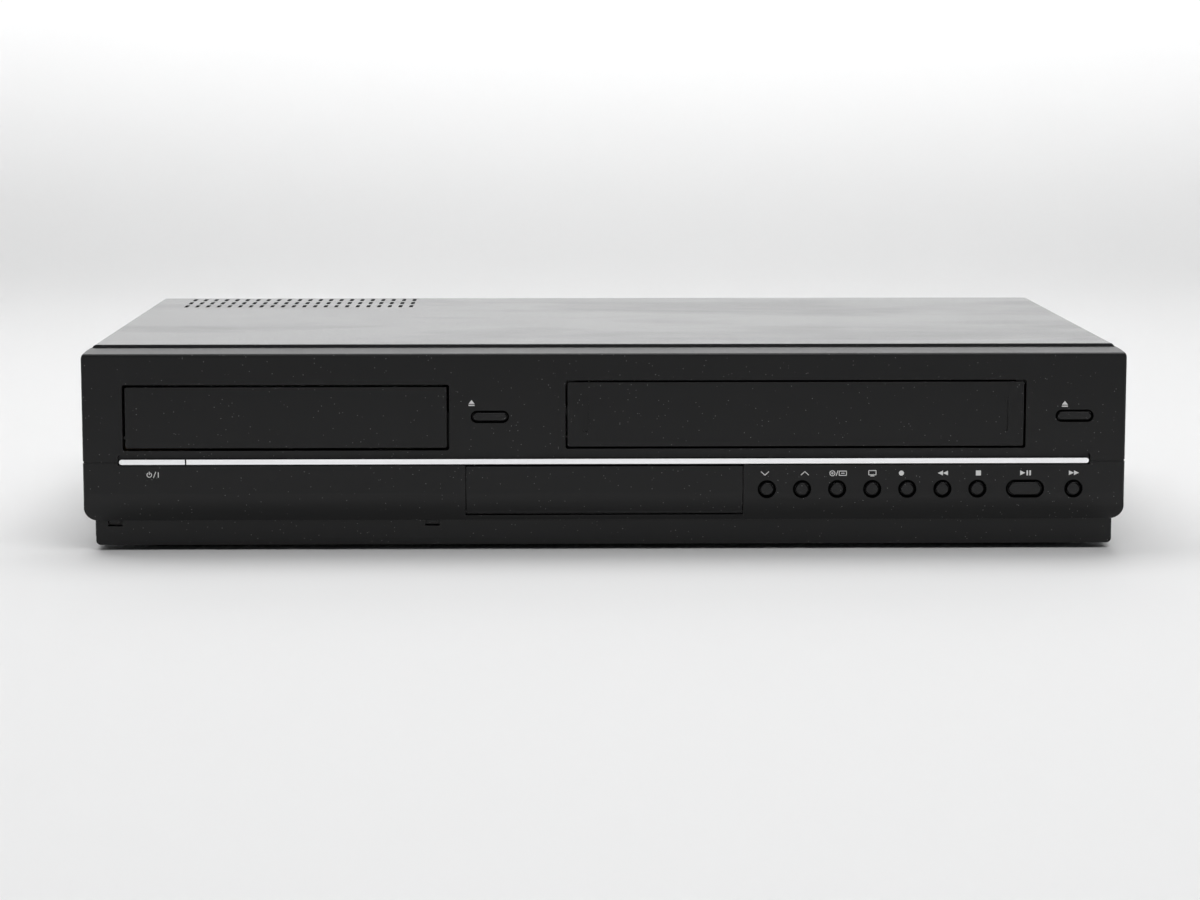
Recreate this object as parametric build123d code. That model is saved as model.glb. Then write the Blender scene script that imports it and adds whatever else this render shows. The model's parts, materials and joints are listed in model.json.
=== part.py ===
"""A disc player and cassette recorder in one case, 430 x 242 x 85 mm.

Z is up and the front panel looks along -Y.  The origin is on the surface that the feet stand on, in the
middle of the outline.  Sizes are in millimetres, angles in degrees.
"""
from build123d import *
import os
from math import acos, atan2, cos, hypot, pi, radians, sin, sqrt, tan

# ---- Overall size ---------------------------------------------------------------------------------------
WIDTH = 430.0
DEPTH = 242.0
HEIGHT = 85.0
FACE_Y = -DEPTH / 2
BACK_Y = DEPTH / 2

# ---- Clearances -----------------------------------------------------------------------------------------
GAP = 0.4               # between neighbours that move past each other or are dropped in
SEAT = 0.3              # under a piece that rests on a runner
RUNNING = 0.05          # radial, a shaft in its bore
BUTTON_GAP = 0.25       # round a button in its hole

# ---- Front panel ----------------------------------------------------------------------------------------
PANEL_WALL = 2.4
PANEL_BOTTOM = 12.7
PANEL_DEPTH = 11.5      # from the face to the edge that meets the cover
PANEL_TOP_DROP = 2.8    # the face's top edge under the cover's top
PANEL_BACK_DROP = 0.9   # the panel's rear edge under the cover's top
PANEL_TOP_R = 4.5
PANEL_BOTTOM_R = 5.5
PANEL_EDGE_R = 1.0
CURL_R = 20.0           # the lower face curls back on this radius
CURL_TOP = 24.5
FOOT_TRIM = 1.5         # the side outline runs this far under the panel's lower edge
TONGUE_T = 1.4          # ring that the cover slides over
TONGUE_L = 5.0
POST_R = 2.0

# ---- Steel case -----------------------------------------------------------------------------------------
CASE_INSET = 3.0        # the case's sides behind the panel's ends
SHEET = 0.8
COVER_BEND_R = 2.0
COVER_SKIRT_Z = 5.0     # lower edge of the cover's sides
COVER_GAP = 0.5         # between the panel and the cover's front edge
COVER_LIP = 1.6         # folded front edge of the cover
REAR_FLANGE = 10.0      # the cover's rear flange reaches this far down
SOCKET_REACH = 7.0      # the sockets stand this far behind the cover
FOOT_H = 3.4
FOOT_R = 9.0
FOOT_IN_X = 27.0        # from the case's sides
FOOT_IN_Y = 26.0        # from the front and back
PAN_T = 1.0
PAN_SIDE_H = 13.0
RIB_W = 8.0             # ribs pressed into the pan
RIB_H = 0.8
RIB_END = 34.0
PAN_SLOTS = 14          # air slots under the power supply
PAN_SLOT_PITCH = 6.0
PAN_SLOT_W = 2.2
PAN_SLOT_L = 22.0
SCREW_HEAD_R = 3.4
SCREW_HEAD_T = 1.5
SCREW_R = 1.4
PLINTH_SETBACK = 5.0
PLINTH_BOTTOM = 2.3
PLINTH_DEPTH = 9.0
PLINTH_WALL = 2.0
PLINTH_CORNER_R = 2.0
CLIPS_IN = (12.2, 143.4)    # from the panel's left end
CLIP_W = 6.0
CLIP_H = 2.6

# ---- Vents in the cover ---------------------------------------------------------------------------------
VENT_COLUMNS = 22
VENT_ROWS = 3
VENT_PITCH_X = 5.06
VENT_PITCH_Y = 17.0
VENT_W = 1.8
VENT_L = 11.0
VENT_SIDE = 17.1        # from the cover's left side
VENT_BACK = 43.5        # from the cover's rear edge

# ---- Places of the openings along the panel -------------------------------------------------------------
SPARE_SHARES = (0.1569, 0.4518, 0.3913)     # left of the disc, between the openings, right of the cassette

# ---- Chrome strip and its recess ------------------------------------------------------------------------
STRIP_Z = 37.55
STRIP_H = 2.1
STRIP_END_IN = 15.0     # from the panel's ends
STRIP_RECESS_Z0 = 35.9
STRIP_RECESS_Z1 = 40.6
STRIP_RECESS_D = 2.2
STRIP_BACKING = 2.0
POWER_KEY_W = 27.3      # the strip's left end, which is the power button
POWER_SPLIT_GAP = 0.6
PARTING_W = 0.8
PARTING_D = 0.4

# ---- Disc opening ---------------------------------------------------------------------------------------
DISC_OPEN_W = 134.2
DISC_OPEN_Z0 = 42.2
DISC_OPEN_Z1 = 69.5
CAP_GAP = 1.1
CAP_T = 2.2
CAP_INSET = 0.6         # caps and doors lie this far behind the face
COLLAR_T = 1.6
COLLAR_D = 5.0

# ---- Cassette opening -----------------------------------------------------------------------------------
TAPE_SIDE = 1.5         # from the cassette to the opening's ends
TAPE_OPEN_Z0 = 42.8
TAPE_OPEN_Z1 = 71.2
DOOR_GAP = 0.9
DOOR_T = 2.2
DOOR_PIN_R = 1.0
DOOR_BOSS_R = 1.4
DOOR_PIVOT_IN = 4.0     # pivot behind the face
DOOR_PIVOT_UP = 2.0     # pivot above the opening
DOOR_EAR_W = 3.0
GROOVE_W = 2.3
GROOVE_H = 14.6
GROOVE_IN = 7.6         # from the door's ends to the grooves
GROOVE_D = 0.5

# ---- Lower flap over the front sockets ------------------------------------------------------------------
FLAP_X = -0.3
FLAP_W = 114.0
FLAP_Z0 = 15.3
FLAP_Z1 = 35.5
FLAP_T = 2.2
FLAP_PIN_R = 0.7
FLAP_PIN_L = 2.0
BAY_WALL = 1.6
BAY_Z0 = 15.4
BAY_Z1 = 34.2
BAY_D = 18.0
BAY_FLOOR_Z = 25.0      # under this height the bay starts behind the curl
BAY_FLOOR_IN = 5.6

# ---- Buttons --------------------------------------------------------------------------------------------
TRAVEL = 0.8
RECESS_D = 1.1
ROUND_R = 2.65
ROUND_RECESS_R = 3.8
KEY_Z = 25.8
KEY_SHARES = (0.0638, 0.0918, 0.7391, 0.8661)   # first key, pitch, play and last key, right of the flap
PLAY_W = 13.4
PLAY_H = 5.3
PLAY_RECESS_W = 15.9
PLAY_RECESS_H = 7.6
PILL_W = 14.0
PILL_H = 3.4
PILL_RECESS_W = 15.8
PILL_RECESS_H = 5.2
OPEN_KEY_SHARE = 0.3494     # of the room between the openings
EJECT_KEY_SHARE = 0.4855    # of the room right of the cassette opening
PILL_Z = 56.15
BUTTON_IN = 0.2         # button tops behind the face
BUTTON_FLANGE = 0.9     # collar behind the wall, wider than the hole
BUTTON_FLANGE_T = 0.8
BUTTON_LENGTH = 3.4
SWITCH_REST = 0.1       # left between a pressed button and its switch
SWITCH_BODY = 6.0
SWITCH_DEPTH = 3.5
PLUNGER_R = 1.6
PLUNGER_L = 0.8
BOARD_T = 1.6

# ---- Sockets --------------------------------------------------------------------------------------------
PHONO_R = 4.15
PHONO_BORE_R = 1.65
PHONO_BORE_L = 8.0
PHONO_PITCH = 14.0
PHONO_BLOCK = 12.0
PHONO_BLOCK_D = 10.0
JACK_BODY_D = 6.0       # the front sockets' bodies behind the bay
JACK_REACH = 7.0        # and their barrels in front of its back wall
AERIAL_R = 4.7
AERIAL_PITCH = 20.0
INLET_IN = 26.0         # from the case's left side
INLET_Z = 30.0
PHONO_COLUMNS = (-20.0, 2.0, 24.0, 56.0)
PHONO_BASE_Z = 24.0
SVIDEO_X = -46.0
DIGITAL_X = -78.0
OPTICAL_X = 84.0
AERIAL_IN = 62.0        # from the case's right side
AERIAL_Z = 30.0
AERIAL_BOX = (44.0, 18.0, 36.0)

# ---- Disc loader ----------------------------------------------------------------------------------------
DISC_IN = 73.0          # from the face to the disc's middle
DISC_R = 60.0
WELL_R = DISC_R + 0.75
SMALL_WELL_R = 40.6
NOTCH_R = 9.0           # finger notches beside the well
TRAY_HALF_W = 64.0
TRAY_REAR_ROOM = 54.4   # between the tray and the rear panel
TRAY_TRAVEL = 138.0
TRAY_PLATE_Z = 48.0
WELL_Z = 50.0
SMALL_WELL_Z = 49.3
TRAY_RIM_Z = 52.6
TRAY_CORNER_R = 7.0
RUNNER_Z = 46.0
RUNNER_W = 4.0
TRAY_SLOT_W = 32.0
TRAY_SLOT_R = 19.0
TRAY_SLOT_IN = 26.0     # from the tray's rear edge to the slot
LOADER_WALL = 2.6
LOADER_FRONT = 11.0     # behind the face
LOADER_BACK = 6.0       # behind the tray
LOADER_Z0 = 22.0
LOADER_FLOOR_T = 2.0
LOADER_TOP_Z = 57.0
LOADER_FOOT_SHARE = 0.48    # of the panel's width left of the disc opening
BRIDGE_T = 1.2
BRIDGE_L = 32.0
BRIDGE_HOLE_R = 11.0
PUCK_R = 15.0
PUCK_Z = 53.2
PUCK_FLANGE_R = 13.0

# ---- Tray drive: rack and pinion ------------------------------------------------------------------------
MODULE = 1.0
PINION_TEETH = 16
PRESSURE_ANGLE = 20.0
BACKLASH = 0.16
GEAR_IN = 29.0          # behind the face
RACK_X = 53.0           # pitch line, from the tray's middle
RACK_Z0 = 44.4
RACK_BODY = 3.6
WHEEL_R = 12.0
WHEEL_Z0 = 38.4
WHEEL_T = 3.4
GEAR_PIN_R = 1.5
GEAR_POST_R = 3.6
MOTOR_X = 5.0           # from the tray's middle
MOTOR_IN = 24.0         # behind the face
MOTOR_R = 11.0
MOTOR_H = 12.0
MOTOR_PULLEY_R = 3.5
BELT_T = 1.0
BELT_W = 1.6

# ---- Traverse, given in its raised (playing) place ------------------------------------------------------
LIFT_ANGLE = 4.5
PIVOT_IN = 8.0          # in front of the tray's rear edge
PIVOT_Z = 42.0
PIVOT_R = 2.0
TRAVERSE_HALF_W = 34.0
TRAVERSE_REACH = 26.0   # in front of the disc's middle
TRAVERSE_Z0 = 41.0
TRAVERSE_T = 2.0
TABLE_Z = 50.0
TABLE_T = 2.0
TABLE_R = 15.0
HUB_R = 7.4
HUB_H = 2.4
SPINDLE_R = 1.5
SPINDLE_MOTOR_R = 13.0
SPINDLE_MOTOR_H = 5.0
SPINDLE_SLEEVE_R = 4.0
ROD_X = (-22.0, 20.0)
ROD_R = 1.5
ROD_Z = 45.2
SLED_HALF_L = 11.0
SLED_START = 24.0       # lens radius on the disc, inner
SLED_TRAVEL = 36.0
SLED_Z0 = 43.3
SLED_Z1 = 47.3
LENS_R = 4.0
LENS_Z = 50.6
SCREW_X = 26.0
SCREW_Z = 42.5
SLED_SCREW_R = 1.2

# ---- Cassette deck --------------------------------------------------------------------------------------
DECK_Z = 17.8
DECK_T = 1.2
DECK_HALF_W = 102.5
DECK_IN = 29.0          # behind the face
DECK_REAR_ROOM = 22.4   # between the deck and the rear panel
CASSETTE_W = 187.0
CASSETTE_L = 103.0
CASSETTE_H = 25.0
HOLDER_IN = 31.0        # behind the face
HOLDER_L = 56.0
HOLDER_T = 1.0
HOLDER_SIDE_GAP = 1.7
CASSETTE_IN = 28.0      # the outer end of a loaded cassette, behind the face
HOLDER_DROP = 19.0
HOLDER_FLOOR_Z = 43.2
HOLDER_LEDGE_W = 28.0
HOLDER_MID_W = 33.0
LIFT_T = 1.0
LIFT_Z0 = 49.0
LIFT_Z1 = 72.0
LIFT_PIN_R = 1.5
HOLDER_PIN_R = 1.4
FRAME_T = 1.2
FRAME_Z1 = 76.0
REEL_SPACING = 92.0
REEL_IN = 75.0          # behind the face
REEL_GEAR_R = 17.0
REEL_GEAR_T = 2.8
REEL_HUB_R = 8.4
REEL_TOP_Z = 36.0
REEL_PIN_R = 2.0
DRUM_IN = 40.0          # from the deck's rear edge to the drum's middle
DRUM_R = 31.0
DRUM_TILT = 5.7
DRUM_LOWER_Z0 = 4.0
DRUM_LOWER_Z1 = 14.0
DRUM_SLIT = 0.3
DRUM_UPPER_Z1 = 27.0
DRUM_SHAFT_R = 3.0
CAPSTAN_X = 58.0        # from the cassette's middle
CAPSTAN_FRONT = 32.0    # in front of the drum's middle
CAPSTAN_R = 1.6
CAPSTAN_TOP_Z = 42.0
BEARING_R = 5.0
FLYWHEEL_R = 24.0
FLYWHEEL_Z0 = 7.5
FLYWHEEL_T = 5.0
ROLLER_R = 6.5
ROLLER_H = 16.0
PINCH_X = 85.4
PINCH_FRONT = 12.0      # in front of the drum's middle
PINCH_SWING = 25.0
PINCH_PIN_R = 2.0
GUIDE_X = 39.0
GUIDE_FRONT = 47.0      # in front of the drum's middle
GUIDE_TRAVEL = 42.0
GUIDE_W = 8.0
GUIDE_ROLLER_R = 3.0
GUIDE_TOP_Z = 42.4      # under the holder's floor

# ---- Boards ---------------------------------------------------------------------------------------------
MAIN_BOARD_Z = 10.0
POWER_BOARD_Z = 10.0
BOARD_HALF_W = 58.0     # the main board's part under the loader, from the tray's middle
BOARD_EDGE = 2.4        # the boards' rear edges before the rear panel
JACK_STRIP_L = 17.0
CABLE_T = 0.6
CABLE_FOOT = 3.0        # from a board's edge to where the cable lands
NECK_IN = (77.3, 108.6)     # from the disc's middle and from the cassette's middle

# ---- Worked out from the sizes above --------------------------------------------------------------------
CASE_WIDTH = WIDTH - 2 * CASE_INSET
FOOT_X = CASE_WIDTH / 2 - FOOT_IN_X
FOOT_Y = DEPTH / 2 - FOOT_IN_Y
CLIP_X = tuple(-WIDTH / 2 + x for x in CLIPS_IN)
STRIP_END_X = WIDTH / 2 - STRIP_END_IN
POWER_SPLIT_X = -STRIP_END_X + POWER_KEY_W
TAPE_OPEN_W = CASSETTE_W + 2 * TAPE_SIDE
SPARE_W = WIDTH - DISC_OPEN_W - TAPE_OPEN_W
LEFT_W, MIDDLE_W, RIGHT_W = (SPARE_W * share for share in SPARE_SHARES)
DISC_X = -WIDTH / 2 + LEFT_W + DISC_OPEN_W / 2
TAPE_X = WIDTH / 2 - RIGHT_W - TAPE_OPEN_W / 2
OPEN_KEY_X = DISC_X + DISC_OPEN_W / 2 + OPEN_KEY_SHARE * MIDDLE_W
EJECT_KEY_X = TAPE_X + TAPE_OPEN_W / 2 + EJECT_KEY_SHARE * RIGHT_W
KEY_ROOM = WIDTH / 2 - FLAP_X - FLAP_W / 2
KEY_X0, KEY_PITCH, PLAY_X, LAST_KEY_X = (KEY_ROOM * share for share in KEY_SHARES)
KEY_X0, PLAY_X, LAST_KEY_X = (FLAP_X + FLAP_W / 2 + x for x in (KEY_X0, PLAY_X, LAST_KEY_X))
INLET_X = -CASE_WIDTH / 2 + INLET_IN
AERIAL_X = CASE_WIDTH / 2 - AERIAL_IN
FACE_TOP = HEIGHT - PANEL_TOP_DROP
PANEL_BACK_Y = FACE_Y + PANEL_DEPTH
PANEL_BACK_TOP = HEIGHT - PANEL_BACK_DROP
WALL_IN_Y = FACE_Y + PANEL_WALL
COVER_FRONT_Y = PANEL_BACK_Y + COVER_GAP
COVER_BACK_Y = BACK_Y - SOCKET_REACH
VENT_X0 = -CASE_WIDTH / 2 + VENT_SIDE
VENT_Y0 = COVER_BACK_Y - VENT_BACK
COVER_IN_X = CASE_WIDTH / 2 - SHEET
COVER_IN_Z = HEIGHT - SHEET
REAR_FACE_Y = COVER_BACK_Y - SHEET
REAR_IN_Y = REAR_FACE_Y - SHEET
PAN_HALF_W = COVER_IN_X - GAP
PAN_TOP = FOOT_H + PAN_T
PLINTH_Y = FACE_Y + PLINTH_SETBACK
PAN_FRONT_Y = PLINTH_Y + PLINTH_DEPTH
STRIP_FLOOR_Y = FACE_Y + STRIP_RECESS_D
BACKING_Y = WALL_IN_Y + STRIP_BACKING
CAP_FRONT_Y = FACE_Y + CAP_INSET
CAP_BACK_Y = CAP_FRONT_Y + CAP_T
DOOR_BACK_Y = CAP_FRONT_Y + DOOR_T
DOOR_HALF_W = TAPE_OPEN_W / 2 - DOOR_GAP
DOOR_Z0 = TAPE_OPEN_Z0 + DOOR_GAP
DOOR_Z1 = TAPE_OPEN_Z1 - DOOR_GAP
DOOR_PIVOT_Y = FACE_Y + DOOR_PIVOT_IN
DOOR_PIVOT_Z = TAPE_OPEN_Z1 + DOOR_PIVOT_UP
BUTTON_FRONT_Y = FACE_Y + BUTTON_IN
BUTTON_BACK_Y = BUTTON_FRONT_Y + BUTTON_LENGTH
PLUNGER_Y = BUTTON_BACK_Y + TRAVEL + SWITCH_REST
BOARD_Y = PLUNGER_Y + PLUNGER_L + SWITCH_DEPTH
KEY_XS = tuple(KEY_X0 + KEY_PITCH * i for i in range(7)) + (LAST_KEY_X,)
FLAP_MID_R = CURL_R - FLAP_T / 2
FLAP_PIVOT_Z = FLAP_Z0 + FLAP_T / 2
FLAP_PIVOT_Y = FACE_Y + CURL_R - sqrt(FLAP_MID_R ** 2 - (CURL_TOP - FLAP_PIVOT_Z) ** 2)
BAY_FRONT_Y = WALL_IN_Y
BAY_BACK_Y = BAY_FRONT_Y + BAY_D
DISC_Y = FACE_Y + DISC_IN
TRAY_BACK_Y = REAR_IN_Y - TRAY_REAR_ROOM
TRAY_SLOT_L = TRAY_BACK_Y - TRAY_SLOT_IN - DISC_Y
LOADER_FRONT_Y = FACE_Y + LOADER_FRONT
LOADER_BACK_Y = TRAY_BACK_Y + LOADER_BACK
LOADER_FOOT_W = LEFT_W * LOADER_FOOT_SHARE
GEAR_Y = FACE_Y + GEAR_IN
MOTOR_Y = FACE_Y + MOTOR_IN
PIVOT_Y = TRAY_BACK_Y - PIVOT_IN
TRAVERSE_FRONT_Y = DISC_Y - TRAVERSE_REACH
DECK_X0 = TAPE_X - DECK_HALF_W
DECK_X1 = TAPE_X + DECK_HALF_W
DECK_Y0 = FACE_Y + DECK_IN
DECK_Y1 = REAR_IN_Y - DECK_REAR_ROOM
HOLDER_Y0 = FACE_Y + HOLDER_IN
HOLDER_Y1 = HOLDER_Y0 + HOLDER_L
CASSETTE_END_Y = FACE_Y + CASSETTE_IN
REEL_Y = FACE_Y + REEL_IN
DRUM_Y = DECK_Y1 - DRUM_IN
CAPSTAN_Y = DRUM_Y - CAPSTAN_FRONT
PINCH_Y = DRUM_Y - PINCH_FRONT
GUIDE_Y = DRUM_Y - GUIDE_FRONT
NECK_X = (DISC_X + NECK_IN[0], TAPE_X - NECK_IN[1])
NECK_MID = (NECK_X[0] + NECK_X[1]) / 2
BOARD_BACK_Y = REAR_IN_Y - BOARD_EDGE
JACK_STRIP_Y = BOARD_BACK_Y - JACK_STRIP_L
BOARD_END_X = PAN_HALF_W - 5.8
POWER_BOARD_X = (-PAN_HALF_W + 3.8, NECK_X[0] - 8.0)
POWER_BOARD_Y = LOADER_BACK_Y + 2.0
POWER_BOARD_L = BOARD_BACK_Y + 0.5 - POWER_BOARD_Y
PINION_R = MODULE * PINION_TEETH / 2
GEAR_X = DISC_X + RACK_X - PINION_R
DECK_TOP = DECK_Z + DECK_T
HOLDER_HALF_W = CASSETTE_W / 2 + HOLDER_SIDE_GAP
HOLDER_TRAVEL = CASSETTE_END_Y + CASSETTE_L + HOLDER_T - HOLDER_Y1
HOLDER_TOP_Z = HOLDER_FLOOR_Z + HOLDER_T + CASSETTE_H + 1.2
LIFT_HALF_W = HOLDER_HALF_W + HOLDER_T + 1.2
FRAME_HALF_W = LIFT_HALF_W + LIFT_T + 1.6


# ---- Helpers --------------------------------------------------------------------------------------------
def block(x, y, z):
    """A box between pairs of coordinates."""
    middle = ((x[0] + x[1]) / 2, (y[0] + y[1]) / 2, (z[0] + z[1]) / 2)
    return Pos(*middle) * Box(x[1] - x[0], y[1] - y[0], z[1] - z[0])


def upright(x, y, r, z):
    """A cylinder standing between two heights."""
    return Pos(x, y, (z[0] + z[1]) / 2) * Cylinder(r, z[1] - z[0])


def along_y(x, z, r, y):
    """A cylinder along Y."""
    return Pos(x, (y[0] + y[1]) / 2, z) * Rot(90, 0, 0) * Cylinder(r, y[1] - y[0])


def along_x(y, z, r, x):
    """A cylinder along X."""
    return Pos((x[0] + x[1]) / 2, y, z) * Rot(0, 90, 0) * Cylinder(r, x[1] - x[0])


def facing(sketch, y):
    """Extrudes a sketch drawn in X and Z between two values of Y."""
    plane = Plane((0, y[0], 0), x_dir=(1, 0, 0), z_dir=(0, -1, 0))
    return extrude(plane * sketch, amount=-(y[1] - y[0]))


def lying(sketch, z):
    """Extrudes a sketch drawn in X and Y between two heights."""
    return extrude(Plane.XY.offset(z[0]) * sketch, amount=z[1] - z[0])


def across(outline, x):
    """Extrudes a closed outline drawn in Y and Z between two values of X."""
    return extrude(Plane.YZ.offset(x[0]) * make_face(outline), amount=x[1] - x[0])


def pill(x, z, width, height):
    """A slot shape drawn in X and Z."""
    return Pos(x, z) * SlotOverall(width, height)


def rounded(x, z, radius):
    """A rectangle with rounded corners between pairs of coordinates."""
    middle = Pos((x[0] + x[1]) / 2, (z[0] + z[1]) / 2)
    return middle * RectangleRounded(x[1] - x[0], z[1] - z[0], radius)


def link(a, ra, b, rb):
    """The outline of a belt or arm round two circles."""
    along = atan2(b[1] - a[1], b[0] - a[0])
    lean = acos((ra - rb) / hypot(b[0] - a[0], b[1] - a[1]))

    def on(centre, r, angle):
        return centre[0] + r * cos(angle), centre[1] + r * sin(angle)

    start, end = on(a, ra, along + lean), on(a, ra, along - lean)
    far_start, far_end = on(b, rb, along - lean), on(b, rb, along + lean)
    edges = ThreePointArc(start, on(a, ra, along + pi), end) + Line(end, far_start)
    return make_face(edges + ThreePointArc(far_start, on(b, rb, along), far_end) + Line(far_end, start))


def group(*solids):
    """Separate solids that share one node."""
    return Compound(children=[solid for item in solids for solid in item.solids()])


# ---- Front panel ----------------------------------------------------------------------------------------
def panel_section(inset, back_y):
    """The panel's outline from the side, moved inwards by a wall; its foot is trimmed off later."""
    front = FACE_Y + inset
    foot = PANEL_BOTTOM + inset - FOOT_TRIM
    r = CURL_R - inset
    centre_y = FACE_Y + CURL_R

    def on_curl(z):
        return (centre_y - sqrt(r ** 2 - (CURL_TOP - z) ** 2), z)

    start, middle, end = (front, CURL_TOP), on_curl((CURL_TOP + foot) / 2), on_curl(foot)
    corners = [end, (back_y, foot), (back_y, PANEL_BACK_TOP - inset)]
    if back_y > PANEL_BACK_Y:
        corners.append((PANEL_BACK_Y, PANEL_BACK_TOP - inset))
    return ThreePointArc(start, middle, end) + Polyline(*corners, (front, FACE_TOP - inset), start)


def panel_outline(inset, low=PANEL_BOTTOM, high=None):
    """The panel's outline from the front, moved inwards by a wall."""
    high = (HEIGHT if high is None else high) - inset
    low += inset
    sketch = Pos(0, (low + high) / 2) * Rectangle(WIDTH - 2 * inset, high - low)
    sketch = fillet(sketch.vertices().group_by(Axis.Y)[-1], max(PANEL_TOP_R - inset, 0.5))
    return fillet(sketch.vertices().group_by(Axis.Y)[0], max(PANEL_BOTTOM_R - inset, 0.5))


def panel_plan(inset, back_y):
    """The panel's outline from above, with its front corners rounded."""
    front, half = FACE_Y + inset, WIDTH / 2 - inset
    sketch = Pos(0, (front + back_y) / 2) * Rectangle(2 * half, back_y - front)
    return fillet(sketch.vertices().group_by(Axis.Y)[0], PANEL_EDGE_R)


def panel_form(inset, back_y):
    """The solid inside the panel's outlines from the side, the front and above."""
    profile = make_face(panel_section(inset, back_y))
    if inset < PANEL_EDGE_R:
        corner = profile.vertices().sort_by(lambda v: hypot(v.X - FACE_Y - inset, v.Y - FACE_TOP + inset))[0]
        profile = fillet(corner, PANEL_EDGE_R)
    side = extrude(Plane.YZ * profile, amount=WIDTH / 2, both=True)
    front = facing(panel_outline(inset, high=PANEL_BACK_TOP), (FACE_Y - 1, back_y))
    return side & front & lying(panel_plan(inset, back_y), (0, HEIGHT))


def disc_opening():
    x = (DISC_X - DISC_OPEN_W / 2, DISC_X + DISC_OPEN_W / 2)
    return x, (DISC_OPEN_Z0, DISC_OPEN_Z1)


def tape_opening():
    x = (TAPE_X - TAPE_OPEN_W / 2, TAPE_X + TAPE_OPEN_W / 2)
    return x, (TAPE_OPEN_Z0, TAPE_OPEN_Z1)


def panel_tongue():
    """The rim behind the panel and the ring that the cover slides over."""
    half = COVER_IN_X - GAP
    top = HEIGHT - COVER_LIP - GAP
    inner = (half - TONGUE_T, top - TONGUE_T)
    low = FOOT_H + PAN_SIDE_H + GAP
    ring = rounded((-half, half), (low, top), COVER_BEND_R)
    hole = rounded((-inner[0], inner[0]), (PANEL_BOTTOM + PANEL_WALL, inner[1]), 1.0)
    rim_y = (PANEL_BACK_Y - TONGUE_T, PANEL_BACK_Y)
    rim = facing(panel_outline(0, high=PANEL_BACK_TOP) - hole, rim_y)
    return rim + facing(ring - hole, (PANEL_BACK_Y, PANEL_BACK_Y + TONGUE_L))


def collar(x, z, open_top):
    """The wall behind an opening, which guides what slides through."""
    t = COLLAR_T
    top = z[1] if open_top else z[1] + t
    outer = block((x[0] - t, x[1] + t), (WALL_IN_Y, WALL_IN_Y + COLLAR_D), (z[0] - t, top))
    return outer - block(x, (FACE_Y, WALL_IN_Y + 2 * COLLAR_D), (z[0], z[1] + 1 if open_top else z[1]))


def board_posts():
    """Posts behind the wall that the switch boards are screwed to."""
    power = sum(power_stem_x()) / 2
    places = ((power - 11.6, 32.3), (power + 10.4, 32.3), (OPEN_KEY_X - 10, 61.0), (OPEN_KEY_X + 16.5, 61.0),
              (KEY_X0 + KEY_PITCH / 2, 32.0), (KEY_X0 + KEY_PITCH * 5.5, 18.5), (EJECT_KEY_X - 4.2, 66.0),
              (LAST_KEY_X + 8.2, 18.5))
    return [along_y(x, z, POST_R, (FACE_Y + PANEL_WALL * 0.8, BOARD_Y)) for x, z in places]


def button_cuts():
    """Dished recesses and the holes through them, for every button but the power button."""
    dish = (FACE_Y - 1, FACE_Y + RECESS_D)
    through = (FACE_Y, FACE_Y + PANEL_WALL + 1)
    cuts = []
    for x in KEY_XS:
        cuts += [along_y(x, KEY_Z, ROUND_RECESS_R, dish), along_y(x, KEY_Z, ROUND_R + BUTTON_GAP, through)]
    pills = ((PLAY_X, KEY_Z, PLAY_W, PLAY_H, PLAY_RECESS_W, PLAY_RECESS_H),
             (OPEN_KEY_X, PILL_Z, PILL_W, PILL_H, PILL_RECESS_W, PILL_RECESS_H),
             (EJECT_KEY_X, PILL_Z, PILL_W, PILL_H, PILL_RECESS_W, PILL_RECESS_H))
    for x, z, width, height, recess_w, recess_h in pills:
        cuts.append(facing(pill(x, z, recess_w, recess_h), dish))
        cuts.append(facing(pill(x, z, width + 2 * BUTTON_GAP, height + 2 * BUTTON_GAP), through))
    return cuts


def strip_cuts():
    """The long recess of the chrome strip, the slot for the power button and the parting line beside it."""
    half = STRIP_END_X + 0.6
    recess = rounded((-half, half), (STRIP_RECESS_Z0, STRIP_RECESS_Z1), 1.0)
    x = power_stem_x()
    stem = block((x[0] - BUTTON_GAP, x[1] + BUTTON_GAP), (FACE_Y, BACKING_Y + 1),
                 (STRIP_Z - STRIP_H / 2, STRIP_Z + STRIP_H / 2))
    line = (STRIP_Z - PARTING_W / 2, STRIP_Z + PARTING_W / 2)
    cuts = [facing(recess, (FACE_Y - 1, STRIP_FLOOR_Y)), stem]
    for side in (-1, 1):
        ends = sorted((side * half, side * (WIDTH / 2 + 1)))
        edge = sorted((side * (WIDTH / 2 - PARTING_D), side * (WIDTH / 2 + 1)))
        cuts.append(block(ends, (FACE_Y - 1, FACE_Y + PARTING_D), line))
        cuts.append(block(edge, (FACE_Y - 1, PANEL_BACK_Y + 1), line))
    return cuts


def power_stem_x():
    middle = (-STRIP_END_X + POWER_SPLIT_X) / 2
    return middle - SWITCH_BODY / 2, middle + SWITCH_BODY / 2


def flap_opening():
    """The cut for the lower flap, with the gap round it."""
    x = (FLAP_X - FLAP_W / 2 - GAP, FLAP_X + FLAP_W / 2 + GAP)
    return block(x, (FACE_Y - 1, PANEL_BACK_Y - TONGUE_T - 0.1), (FLAP_Z0 - GAP, FLAP_Z1 + GAP))


def flap_pins(radius, length):
    """The two pins that the flap turns on."""
    half = FLAP_W / 2
    pins = []
    for side in (-1, 1):
        x = sorted((FLAP_X + side * (half - 1), FLAP_X + side * (half + length)))
        pins.append(along_x(FLAP_PIVOT_Y, FLAP_PIVOT_Z, radius, x))
    return pins


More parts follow.
